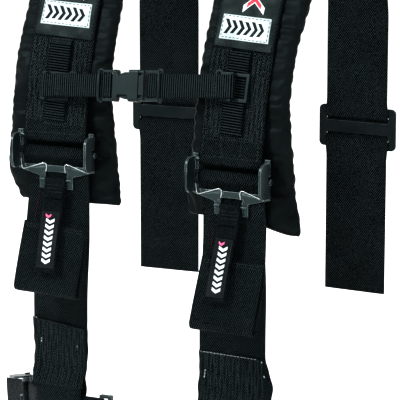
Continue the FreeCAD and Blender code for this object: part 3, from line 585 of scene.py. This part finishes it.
def pad_half(z):
    """Half a pad's width at a height on its front run, or above it."""
    return PAD_HALF - PAD_NARROWS * min(max((z - PAD_FOOT_Z) / PAD_TAPER, 0), 1)


def pad_edges(sign, half, s, foot):
    """A pad's low and high edge, s above its foot: the two pads bulge differently."""
    low, high = -half, half + 5 + (1 if sign < 0 else 5) * foot
    if sign < 0:
        return low + (17 * foot ** 1.5 - 5 * (1 - smooth((s - 150) / 100))), high
    return low + 2, high + 4 * smooth((s - 190) / 50)


def pad_piece(side, ribbon):
    """A puffed, sewn pad: one closed form, crowned at the sides and gathered along its seam."""
    sign, seed = SIGNS[side], 3.1 if side == "left" else 8.7
    total, rows, ring, hem = ribbon.total, 150, 56, 0.8
    points, pins, uvs = [], [], []
    for i in range(rows + 1):
        s = hem + (total - 2 * hem) * i / rows
        z = ribbon.at(0, s).z / MM
        half = pad_half(z if s < total * 0.6 else 0) - 1.5
        end, foot = min(s, total - s), 1 - smooth(s / 46)
        # It thins towards its ends, and the seam gathers its edges.
        fat = math.sqrt(1 - (1 - min(end / 9, 1)) ** 2)
        gather = 1.1 * noise.noise((s / 7.5, seed, 0)) + 0.4 * noise.noise((s / 3.1, seed, 4))
        low, high = pad_edges(sign, half, s, foot)
        for j in range(ring):
            angle = 2 * math.pi * j / ring
            c, d = math.cos(angle), math.sin(angle)
            x = math.copysign(abs(c) ** 0.42, c)
            y = math.copysign(abs(d) ** 0.8, d)
            rim = smooth((abs(x) - 0.72) / 0.28)
            reach = (high if x > 0 else -low) + gather * rim - 5 * (1 - fat) * abs(x)
            u = x * reach
            wave = 1.6 * noise.noise((s / 16, u / 30, seed)) * foot
            depth = -PAD_THICK / 2 + y * (PAD_THICK / 2 - 1.2) * fat + wave * rim * 1.5
            point = ribbon.at(u, s, depth)
            if sign > 0:
                point.z -= 12 * MM * smooth((u - 5) / 60) * (1 - smooth(s / 70))
            points.append(point)
            # The strap in front, the flat back and the seam round the edge stay where they are.
            held = abs(u) < 33 and d > 0 or abs(u) < 44 and d < 0 or abs(d) < 0.12
            pins.append(1.0 if held or end < 2 else 0.0)
            uvs.append((u / UV_SPAN, s / UV_SPAN))
    faces, marks = [], []
    for row in range(0, rows * ring, ring):
        for j in range(ring):
            k = (j + 1) % ring
            faces.append((row + ring + j, row + ring + k, row + k, row + j))
            marks.append(1 if j >= ring / 2 else 0)
    for base, flip in ((0, 1), (rows * ring, -1)):
        for j in range(ring // 2):
            quad = (base + j, base + j + 1, base + (ring - j - 1) % ring, base + (ring - j) % ring)
            faces.append(tuple(dict.fromkeys(quad))[::flip])
            marks.append(0)
    obj = new_object(f"{side}_pad", points, faces, uvs, [NYLON, LINING], marks)
    puff(obj, pins, 5.0)
    obj.modifiers.new("round", "SUBSURF").levels = 1
    obj.modifiers["round"].render_levels = 1
    nodes = [f"{side}_pad_{part}" for part in ("cover", "foam", "liner")]
    finish_piece(obj, "harness", "pad_shell", *nodes)


def puff(obj, pins, cap):
    """Swells a mesh as cloth under pressure, with spare fabric that wrinkles between its seams.
    No point moves by more than about cap millimetres."""
    rest = np.empty(len(obj.data.vertices) * 3)
    obj.data.vertices.foreach_get("co", rest)
    rest = rest.reshape(-1, 3)
    group = obj.vertex_groups.new(name="seams")
    for weight in (1.0, 0.0):
        group.add([i for i, w in enumerate(pins) if w == weight], weight, "REPLACE")
    cloth_mod = obj.modifiers.new("cloth", "CLOTH")
    settings = cloth_mod.settings
    settings.quality = 6
    settings.use_pressure = True
    settings.uniform_pressure_force = 4.0
    settings.vertex_group_mass = "seams"
    settings.shrink_min = -0.07
    settings.tension_stiffness = 20
    settings.bending_stiffness = 0.25
    settings.effector_weights.gravity = 0.0
    frames = 20
    cloth_mod.point_cache.frame_end = frames
    for moment in range(1, frames + 1):
        bpy.context.scene.frame_set(moment)
    done = obj.evaluated_get(bpy.context.evaluated_depsgraph_get()).to_mesh()
    moved = np.empty(len(rest) * 3)
    done.vertices.foreach_get("co", moved)
    shift = moved.reshape(-1, 3) - rest
    size = np.linalg.norm(shift, axis=1, keepdims=True)
    cap, tiny = cap * MM, 1e-9
    shift *= np.where(size > tiny, cap * np.tanh(size / cap) / np.maximum(size, tiny), 1.0)
    obj.modifiers.remove(cloth_mod)
    obj.data.vertices.foreach_set("co", (rest + shift).ravel())
    obj.data.update()
    bpy.context.scene.frame_set(1)
    obj.vertex_groups.remove(group)


def ladder_ribbon(strap, place, low, high):
    """Ladder webbing: sewn down at both ends, held off the strap between them."""
    sewn = FACE + NARROW / 2 + 0.1

    def shape(u, s):
        end = min(s - low, high - s)
        return u, sewn + (LADDER_OFF - sewn) * smooth(end / 7)
    return Ribbon(strap, place, shape, skew=LADDER_SKEW)


def sewn_patch(name, ribbon, corners, off, thick, mat, steps=8, soft=0.45):
    """A thin four-sided patch that follows the cloth, from its (u, s) corners in turn. Its rim
    is soft times as thick as the rest."""
    def rim(t):
        return soft if t in (0.0, 1.0) else 1.0
    points, uvs, n = [], [], steps + 3
    ts = [0.0, 0.03] + [0.03 + 0.94 * (i + 1) / steps for i in range(steps)] + [1.0]
    for layer in (1, 0):
        for a in ts:
            for b in ts:
                spot = [corners[0][k] * (1 - a) * (1 - b) + corners[1][k] * (1 - a) * b
                        + corners[2][k] * a * b + corners[3][k] * a * (1 - b) for k in (0, 1)]
                top = off + thick * rim(a) * rim(b) if layer else off
                points.append(ribbon.at(*spot, top))
                uvs.append((spot[0] / UV_SPAN, spot[1] / UV_SPAN))
    faces, size = [], n * n
    for i in range(n - 1):
        for j in range(n - 1):
            quad = (i * n + j, i * n + j + 1, (i + 1) * n + j + 1, (i + 1) * n + j)
            faces.append(quad)
            faces.append(tuple(size + v for v in quad)[::-1])
    loop = [*range(n), *range(2 * n - 1, size, n), *range(size - 2, size - n - 1, -1),
            *range(size - 2 * n, 0, -n)]
    for a, b in zip(loop, loop[1:] + loop[:1]):
        faces.append((a, b, size + b, size + a))
    return new_object(name, points, faces, uvs, [mat])


def chevron(name, ribbon, tip, half, reach, stroke, lean, off, thick, mat):
    """The two arms of a chevron that points along +s or, with lean, along +u, in turn."""
    for arm in (-1, 1):
        back, thin = ((reach, 0), (stroke, 0)) if lean else ((0, reach), (0, stroke))
        out = (0, arm * half) if lean else (arm * half, 0)
        tail = (tip[0] - back[0] + out[0], tip[1] - back[1] + out[1])
        corners = [tip, (tip[0] - thin[0], tip[1] - thin[1]),
                   (tail[0] - thin[0], tail[1] - thin[1]), tail]
        yield sewn_patch(f"{name}_{'ab'[arm > 0]}", ribbon, corners, off, thick, mat, 4, 0.9)


def box_run(u0, u1, s0, s1):
    """The four sides of a box, as one run of stitches."""
    return [(u0, s0), (u1, s0), (u1, s1), (u0, s1), (u0, s0)]


def zigzag(u, s0, s1, wide, pitch):
    """A row of zigzag stitches that wanders a little, as machine sewing does."""
    count = int(abs(s1 - s0) / pitch)
    made = []
    for i in range(count + 1):
        s = s0 + (s1 - s0) * i / count
        drift = 0.7 * math.sin(s / 9 + u) + 0.9 * noise.noise((s / 4, u, 0))
        made.append((u + drift + (wide / 2 if i % 2 else -wide / 2), s))
    return made


def shoulder(side):
    """One shoulder strap, with all that is sewn to it or hangs from it."""
    place = side_place(side)
    strap, sweep, turn = shoulder_route(side)
    ribbon = Ribbon(strap, place)
    slide_at = strap.length() - (SLIDE_Z - REAR_END_Z)

    def spread(s):
        """A little wider behind, and most at the slide, as in the photo."""
        half = HALF_WIDE + 1.4 * smooth((s - slide_at + 190) / 60)
        half += 1.4 * (1 - smooth((abs(s - slide_at) - 20) / 18))
        return -half, half
    finish_piece(strip(f"{side}_strap", ribbon, WEB, edges=spread), "harness", "webbing",
                 f"{side}_shoulder_webbing")
    pad_piece(side, Ribbon(pad_route(strap, sweep, turn), place))
    panel(side, strap, place, ribbon.height(PANEL_LOW))
    ladder(side, strap, place, ribbon)
    adjuster = shifted(place, 0, BAR_Y, HEIGHTS[side]["adjuster"])
    springs(adjuster, f"{side}_adjuster")
    tail(side, adjuster)
    tab(side, adjuster)
    lower(side, place)


def panel(side, strap, place, crest):
    """The cloth panel with its patch and emblem. It starts at crest along the strap."""
    def wrinkle(u, s):
        return u, 0.5 * math.sin(u / 7 + s / 21) * math.sin(s / 11 + 2) * smooth((s - crest) / 4)
    sewn = Ribbon(strap, place, wrinkle, skew=LADDER_SKEW)
    sheet = strip(f"{side}_panel", sewn, PANEL, WIDE - 1, 1.4, crest, crest + PANEL_LONG,
                  FACE + 0.8)
    finish_piece(sheet, "harness", "panel", f"{side}_shoulder_panel")
    up = crest + (4 if side == "left" else 0)
    corners = [(-30.5, up + 8.4), (30.5, up + 9.4), (29.5, up + 36.6), (-29.5, up + 35.8)]
    patch = sewn_patch(f"{side}_patch", sewn, corners, FACE + 1.5, 0.6, PATCH, 20)
    finish_piece(patch, "harness", "patch", f"{side}_name_patch")
    runs = [box_run(-28.4, 28.4, up + 10.6, up + 34.4)]
    sew("harness", "patch", f"{side}_patch_stitch", runs, LABEL, 2.6, 2.0, 0.36, sewn, FACE + 2.2)
    for index in range(6):
        tip, half = (-16.5 + 8 * index, up + 22.6), 8.2 - 0.9 * (index % 2)
        for mark in chevron(f"{side}_patch_mark_{index}", sewn, tip, half, 5, 4.4, True,
                            FACE + 2.0, 0.2, LABEL):
            finish_piece(mark, "harness", "patch")
    for index, (mat, size, lift) in enumerate(((MARK, 1.0, 0.0), (RED, 0.66, 0.14))):
        tip = (5, up + 56 + 4 * size)
        for mark in chevron(f"{side}_emblem_{index}", sewn, tip, 13 * size, 12 * size, 8 * size,
                            False, FACE + 1.5, 0.2 + lift, mat):
            finish_piece(mark, "harness", "panel")
    runs = [[(-36, crest + d), (36, crest + d)] for d in (3, 5.5)]
    runs += [[(u, crest + 6), (u, crest + 146)] for u in (-35.5, 35.5)]
    sew("harness", "panel", f"{side}_panel_stitch", runs, THREAD, 2.8, 1.4, 0.34, sewn, FACE + 1.55)


def ladder(side, strap, place, ribbon):
    """The ladder webbing, the stitching beside it and the stitching of the adjuster's loop."""
    low, top = ribbon.height(LADDER_LOW), ribbon.height(LADDER_TOP)
    held, slanted = ladder_ribbon(strap, place, low, top), Ribbon(strap, place, skew=LADDER_SKEW)
    ribbed = strip(f"{side}_ladder", held, LADDER_RIB, SLIM, NARROW, low, top, columns=9,
                   rib=(LADDER_PITCH, RIB_HEIGHT))
    finish_piece(ribbed, "harness", "narrow_webbing", f"{side}_ladder_webbing")
    rows = [half * (16.2 + 2.7 * i + 0.8 * noise.noise((i * 1.9, SIGNS[side], half)))
            for i in range(8) for half in (-1, 1)]
    runs = [zigzag(u, low - 3, top - 1, 2.2, 1.7) for u in rows]
    sew("harness", "webbing", f"{side}_strap_zigzag", runs, THREAD, 1.7, 0.6, 0.42, slanted,
        FACE + 0.2)
    runs = [[(-13, s), (13, s)] for s in (low - 4, low + 2, low + 8, top - 2, top - 5)]
    sew("harness", "narrow_webbing", f"{side}_ladder_stitch", runs, THREAD, 2.4, 1.0, 0.45, held,
        NARROW / 2 + 0.35)
    loop_top = ribbon.height(HEIGHTS[side]["adjuster"] + 44)
    runs = [[(-34, loop_top + d), (34, loop_top + d)] for d in (-22, -3, 0)]
    runs += [zigzag(u, loop_top - 22, loop_top, 2.2, 1.8) for u in (-34, -12, 12, 34)]
    sew("harness", "webbing", f"{side}_loop_stitch", runs, THREAD, 2.4, 0.8, 0.3, ribbon,
        FACE + 0.1)


def tail(side, adjuster):
    """The adjustable tail, its hanging fold, its sewn hem and its red tracer thread."""
    drop = HEIGHTS[side]["adjuster"] - HEIGHTS[side]["fold"]
    route = tail_route(TAIL_LEAN, (drop - 60.5) / math.cos(math.radians(TAIL_LEAN)))
    fold = route.length()
    route.arc(FOLD_BEND, -180).line(72)
    aside, slant = (7, 5) if side == "left" else (14, 1)

    def hang(u, s):
        curl = 1.6 * (u / 38) ** 2 * (1 if s < fold else -1)
        return u, smooth((s - 60) / 80) * (0.9 * math.sin(s / 23 + u / 30) - curl)

    def hem(point, s):
        """Lets the hanging fold swing sideways a little and slant."""
        t = smooth((s - 35) / 110)
        return point + Vector((aside * t, 0, -slant * t * (point.x + 38) / 76))
    ribbon = Ribbon(route, adjuster, hang, hem)
    body, end = f"{side}_adjuster_slide", ribbon.total
    finish_piece(strip(f"{side}_tail", ribbon, WEB), body, "webbing", f"{side}_tail_webbing")
    runs = [[(-35, end - 3), (35, end - 3)], [(-35, end - 6), (35, end - 6)],
            [(-37, end - 7), (-37, end - 1)]]
    sew(body, "webbing", f"{side}_tail_stitch", runs, THREAD, 2.8, 1.2, 0.34, ribbon, FACE + 0.1)
    runs = [[(-25, 72), (-27, 98)]] if side == "left" else [[(-27, 82), (-29, 104)]]
    sew(body, "webbing", f"{side}_tail_tracer", runs, DULL_RED, 1.6, 0.8, 0.3, ribbon, -FACE - 0.05)


def springs(adjuster, body):
    """Two bent wire springs that lie on an adjuster's lower plate."""
    bends = [(43.4, -9), (43, -14), (42.2, -19), (40.6, -20.4), (38.6, -20.2), (17, -13.2),
             (13.6, -12.6), (11.6, -13.8), (11.2, -16.6), (12.2, -22)]
    for edge in (-1, 1):
        points = [adjuster @ (Vector((edge * u, -1.45, w)) * MM) for u, w in bends]
        wire = bar_piece(f"{body}_spring_{'ab'[edge > 0]}", points, 0.62, BRIGHT)
        finish_piece(wire, body, "plated_steel")


def tab(side, adjuster):
    """The pull tab, sewn round the adjuster's rod, and its woven label."""
    body, aside = f"{side}_tab", 7 if side == "left" else 5
    route = loop_start(ROD_AT, 270 - TAB_LEAN, 2.5, 14, -1, SEWN_NARROW).line(106)

    def sway(point, s):
        return point + Vector((aside * (s / 120) ** 2, 0, 0))
    ribbon = Ribbon(route, adjuster, None, sway)
    total, face = ribbon.total, -NARROW / 2
    finish_piece(strip(f"{side}_pull_tab", ribbon, RIBBED, SLIM, NARROW, rib=(2.0, 0.22),
                       columns=9), body, "narrow_webbing", f"{side}_pull_tab")
    corners = [(-11, total - 70), (11, total - 70), (11, total - 4), (-11, total - 4)]
    label = sewn_patch(f"{side}_tab_label", ribbon, corners, face - 0.7, 0.6, LABEL)
    finish_piece(label, body, "tab_label", f"{side}_tab_label")
    front = face - 0.75
    marks = [(index, (0.5, total - 55 + 6.6 * index), 5.2, 3, 3.6, MARK) for index in range(8)]
    marks.append(("pink", (-2.5, total - 61.5), 3.4, 2.6, 2.6, PINK))
    for key, tip, half, reach, stroke, mat in marks:
        for mark in chevron(f"{side}_tab_mark_{key}", ribbon, tip, half, reach, stroke, False,
                            front, -0.25, mat):
            finish_piece(mark, body, "tab_label")
    runs = [[(-10, s), (10, s)] for s in (total - 100, total - 96, total - 92)]
    sew(body, "narrow_webbing", f"{side}_tab_stitch", runs, THREAD, 1.6, 0.8, 0.3, ribbon,
        face - 0.15 - SEWN_NARROW)
    runs = [box_run(-10, 10, total - 69, total - 5)]
    sew(body, "tab_label", f"{side}_label_stitch", runs, THREAD, 1.8, 1.0, 0.22, ribbon,
        front - 0.05)


def lower(side, place):
    """The doubled strap round the lap belt: bunched at its outer edge, stitched, a bit frayed."""
    sign, high = SIGNS[side], HEIGHTS[side]
    route = lower_route(side)
    plain = Ribbon(route, place)
    sewn_end = high["sewn"] - LAP_Z - 46
    gather_z, gather_long = (LAP_Z + 56, 17) if sign > 0 else (LAP_Z + 64, 24)

    def height(s):
        return float(np.interp(s, plain.table[:, 0], plain.table[:, 2]))

    def bunch(u, s):
        t = smooth((high["sewn"] - 4 - height(s)) / 30) * smooth((height(s) + 518) / 25)
        wave = math.sin(s / 8.5 + u / 21) * 0.35 + 0.9 * noise.noise((u / 5, s / 34, sign))
        return u, t * wave

    def edges(s):
        """Its edges: rippled where it is sewn, and drawn in on the outside at the lap belt."""
        z = height(s)
        drawn = smooth((gather_z - z) / gather_long)
        swell = smooth((high["sewn"] - z) / 20)
        ripple = (0.9 * math.sin(s / 9) + 0.5 * math.sin(s / 3.7)) * swell
        bulge = 9 * smooth((-452 - z) / 46) if sign > 0 else -1.5 * swell
        low = -HALF_WIDE + ripple + (6 * smooth((-484 - z) / 34) if sign < 0 else 0)
        far = HALF_WIDE + bulge - (13.4 + bulge) * drawn + ripple
        return (low, far) if sign > 0 else (-far, -low)

    def twist(point, s):
        """Turns the strap outwards about its inner edge, and slants its sewn end."""
        z = point.z
        turn = 11 * smooth((high["adjuster"] - 60 - z) / 90) * (1 - 0.8 * smooth((-492 - z) / 32))
        hinge = Vector((-sign * 38, 0, 0))
        turned_by = Matrix.Rotation(math.radians(sign * turn), 3, "Z")
        slant = (5 * (point.x + 38) / 76 + (6 if sign < 0 else 0)) * (1 - smooth(s / 60))
        return hinge + turned_by @ (point - hinge) - Vector((0, 0, slant))
    ribbon = Ribbon(route, place, bunch, twist)
    finish_piece(strip(f"{side}_lower_strap", ribbon, WEB, edges=edges), "harness", "webbing",
                 f"{side}_lower_webbing")
    face = -FACE - 0.12
    rows = [-34.6 + 69.2 * i / 19 + 1.3 * noise.noise((i * 1.7, sign, 5)) for i in range(20)]
    runs = [zigzag(u, 2, sewn_end, 2.6, 1.9) for u in rows] + [[(-35, 1.6), (35, 1.6)]]
    sew("harness", "webbing", f"{side}_lower_stitch", runs, THREAD, 1.7, 0.7, 0.4, ribbon, face)
    runs = [[(-37, 0.4), (-31 if sign < 0 else 29, 0.4)]]
    sew("harness", "webbing", f"{side}_fray_hem", runs, FRAY, 3.4, 0.4, 0.26, ribbon, face - 0.2)
    if side == "left":
        runs = [[(-25, 25), (-25.5, 32)], [(26.5, 25), (26.8, 28)]]
    else:
        runs = [[(-30, 20), (-31.5, 31)], [(34.5, 1.5), (35, 4)], [(37, 18), (38.5, 21.5)]]
    sew("harness", "webbing", f"{side}_fray", runs, FRAY, 3.4, 0.3, 0.6, ribbon, face - 0.3)


# ---- sternum strap ----
def sternum():
    """The two halves of the sternum strap, placed by the buckle's joints in the frame."""
    joints = {j["name"]: j for j in frame["joints"]}
    along = Vector(joints["buckle_release"]["axis"])
    upper, under = (Vector(joints[f"{w}_arm_squeeze"]["pos_m"]) for w in ("upper", "lower"))
    up = (upper - under).normalized()
    back = up.cross(along)
    middle = (upper + under) / 2 - along * 4.2 * MM
    # The strap ends at reach from the buckle's middle.
    # closer and wrap keep the ribs clear of the buckle's bar. bar_at is where the keeper sits.
    for side, reach, closer, wrap, bar_at in (("left", 38.5, 3, 4.5, 47),
                                              ("right", 14.5, 1.3, 4.35, 26)):
        sign = SIGNS[side]
        node = frame["nodes"][f"{side}_sternum_webbing"]
        far = max(sign * (v.co - middle).dot(along) for v in node.data.vertices) / MM - 4.0
        route = loop_start((0, -far), 90, STRAP_WRAP, 16, -1, SEWN_NARROW)
        route.line(far - reach + closer).loop_end(wrap, 20, -1, SEWN_NARROW)
        ribbon = Ribbon(route, turned(sign * up, back, -sign * along, middle / MM))
        bends = [(17.4, 1), (17.2, -4.6), (15.4, -6.6), (-15.4, -6.6), (-17.2, -4.6), (-17.4, 1)]
        points = [middle + (sign * along * bar_at + up * w + back * y) * MM for w, y in bends]
        keeper = bar_piece(f"{side}_buckle_keeper", points, 1.35, PLASTIC)
        finish_piece(keeper, "left_sternum" if side == "left" else "buckle_insert", "plastic")
        piece = strip(f"{side}_sternum_strap", ribbon, STRAP_RIB, SLIM, NARROW, columns=9,
                      rib=(STRAP_PITCH, RIB_HEIGHT))
        finish_piece(piece, f"{side}_sternum", "narrow_webbing", f"{side}_sternum_webbing")
        runs = [[(-11, route.loop + d), (11, route.loop + d)] for d in (5, 8, 16, 19)]
        sewn = stitches(f"{side}_sternum_stitch", runs, THREAD, 1.8, 0.8, 0.34, ribbon,
                        NARROW / 2 + 0.2)
        finish_piece(sewn, f"{side}_sternum", "narrow_webbing")
        if side == "right":
            for part in (piece, sewn):
                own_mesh(part)


# ---- lap belt ----
def lap(side):
    """One side's lap belt. It bends down in its own plane at an elbow beyond the hip curve."""
    sign = SIGNS[side]
    plan = turned((0, 0, sign), (0, 1, 0), (-sign, 0, 0), (0, CHEST_Y, LAP_Z))
    inner = loop_start((-LAP_WRAP, -LATCH_BAR), -90, LAP_WRAP, 12, -1, SEWN)
    inner.line(LAP_BEND_X - LATCH_BAR).arc(30, LAP_TURN).line(LAP_ELBOW)
    elbow, elbow_at = Vector((0, *inner.end())), inner.length()
    h = math.radians(LAP_TURN - 90)
    inward, ahead = (-math.sin(h), math.cos(h)), (math.cos(h), math.sin(h))
    inner.line(20 - LAP_ELBOW)
    contact = inner.end()
    inner.loop_end(TOP_WRAP, 5, 1, SEWN)

    def swing(angle):
        return Matrix.Rotation(math.radians(sign * angle), 4, Vector((0, *inward)))

    def drop(point, s):
        return elbow + swing(LAP_DROP * smooth((s - elbow_at + 7) / 14)) @ (point - elbow)
    ribbon = Ribbon(inner, plan, warp=drop)
    piece = strip(f"{side}_lap_strap", ribbon, WEB, step=1.6)
    body = "harness" if side == "left" else None
    finish_piece(piece, body, "webbing", f"{side}_lap_inner_webbing")
    runs = [[(-34, inner.loop + d), (34, inner.loop + d)] for d in (6, 9, 18)]
    sewn = stitches(f"{side}_lap_strap_stitch", runs, THREAD, 2.6, 0.9, 0.34, ribbon,
                    -FACE - 0.1)
    finish_piece(sewn, body, "webbing")
    if side == "right":
        start, end = (Vector((x, CHEST_Y, LAP_Z)) * MM for x in (LATCH_BAR + 22, 119))
        for part in (piece, sewn):
            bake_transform(part)
            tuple(start)
            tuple(end)
    to_elbow, back = Matrix.Translation(elbow * MM), Matrix.Translation(-elbow * MM)
    low = plan @ (to_elbow @ swing(LAP_DROP) @ back)
    bar = [contact[i] + inward[i] * (TOP_WRAP - TOP_BAR[0]) + ahead[i] * TOP_BAR[1] for i in (0, 1)]
    adjuster = shifted(low, 0, *bar, LAP_TURN)
    springs(adjuster, f"{side}_lap_adjuster")
    finish_piece(strip(f"{side}_lap_tail", Ribbon(tail_route(8, 46), adjuster), WEB),
                 f"{side}_lap_slide", "webbing", f"{side}_lap_tail_webbing")
    outer = loop_start((0, 0), 180, TOP_WRAP, 16, -1, SEWN).line(30).arc(80, -LAP_TURN).line(40)
    end, stop = outer.end(), [bar[i] + inward[i] * BAR_WRAP + ahead[i] for i in (0, 1)]
    outer = outer.moved((stop[0] - end[0], stop[1] - end[1]))
    ribbon = Ribbon(outer, low)
    finish_piece(strip(f"{side}_lap_end", ribbon, WEB), "harness", "webbing",
                 f"{side}_lap_outer_webbing")
    runs = [[(-34, outer.loop + d), (34, outer.loop + d)] for d in (5, 8, 22)]
    sew("harness", "webbing", f"{side}_lap_end_stitch", runs, THREAD, 2.6, 0.9, 0.34, ribbon,
        FACE + 0.1)


def dress_hardware():
    """Gives every CAD node that stays its material."""
    for name, node in frame["nodes"].items():
        if node.hide_render:
            continue
        mat = STEEL
        if "buckle" in name or "slider" in name:
            mat = PLASTIC
        elif name.startswith("latch") or "hook" in name:
            mat = ZINC
        elif "rear_slide" in name:
            mat = PLATE
        node.data.materials.clear()
        node.data.materials.append(mat)


# ---- stage, light and camera ----
def studio():
    """The camera solved from the photo, a white floor and backdrop, and three soft lamps."""
    scene = bpy.context.scene
    target = Vector((72.66, CHEST_Y, -283.4)) * MM
    azimuth, elevation, reach = math.radians(26.42), math.radians(11.73), 2.64717
    away = Vector((math.sin(azimuth) * math.cos(elevation),
                   -math.cos(azimuth) * math.cos(elevation), math.sin(elevation)))
    camera = bpy.data.objects.new("camera", bpy.data.cameras.new("camera"))
    camera.data.lens, camera.data.sensor_width = 219.13, 36
    camera.data.clip_start, camera.data.clip_end = 0.05, 60
    camera.location = target + away * reach
    camera.rotation_mode = "QUATERNION"
    camera.rotation_quaternion = (-away).to_track_quat("-Z", "Y")
    scene.collection.objects.link(camera)
    scene.camera = camera
    floor_z = CAD_BOX[0].z - 0.03
    bpy.ops.mesh.primitive_plane_add(size=24, location=(0, 0, floor_z))
    floor = bpy.context.object
    floor.name = "floor"
    ground = Nodes("floor_paint", (0.93, 0.93, 0.93), 0.9)
    ground.set("Base Color", ground.ramp(ground.noise(3.0), 0.3, 0.7, (0.92,) * 3, (0.94,) * 3))
    floor.data.materials.append(ground.mat)
    world = bpy.data.worlds.new("studio")
    world.use_nodes = True
    world.node_tree.nodes["Background"].inputs[0].default_value = (1, 1, 1, 1)
    world.node_tree.nodes["Background"].inputs[1].default_value = 1.0
    scene.world = world
    for name, place, size, power in (("key", (-1.3, -2.0, 1.6), 0.5, 95),
                                     ("fill", (2.1, -1.6, 0.9), 1.0, 30),
                                     ("rim", (0.6, 1.9, 1.5), 1.0, 40)):
        lamp = bpy.data.lights.new(name, "AREA")
        lamp.shape, lamp.size, lamp.energy = "DISK", size, power
        light = bpy.data.objects.new(name, lamp)
        light.location = place
        aim = Vector((0, -0.05, -0.28)) - light.location
        light.rotation_euler = aim.to_track_quat("-Z", "Y").to_euler()
        scene.collection.objects.link(light)
    scene.view_settings.view_transform = "Standard"
    scene.view_settings.look = "Medium High Contrast"


studio()
for each in ("left", "right"):
    shoulder(each)
    lap(each)
sternum()
dress_hardware()
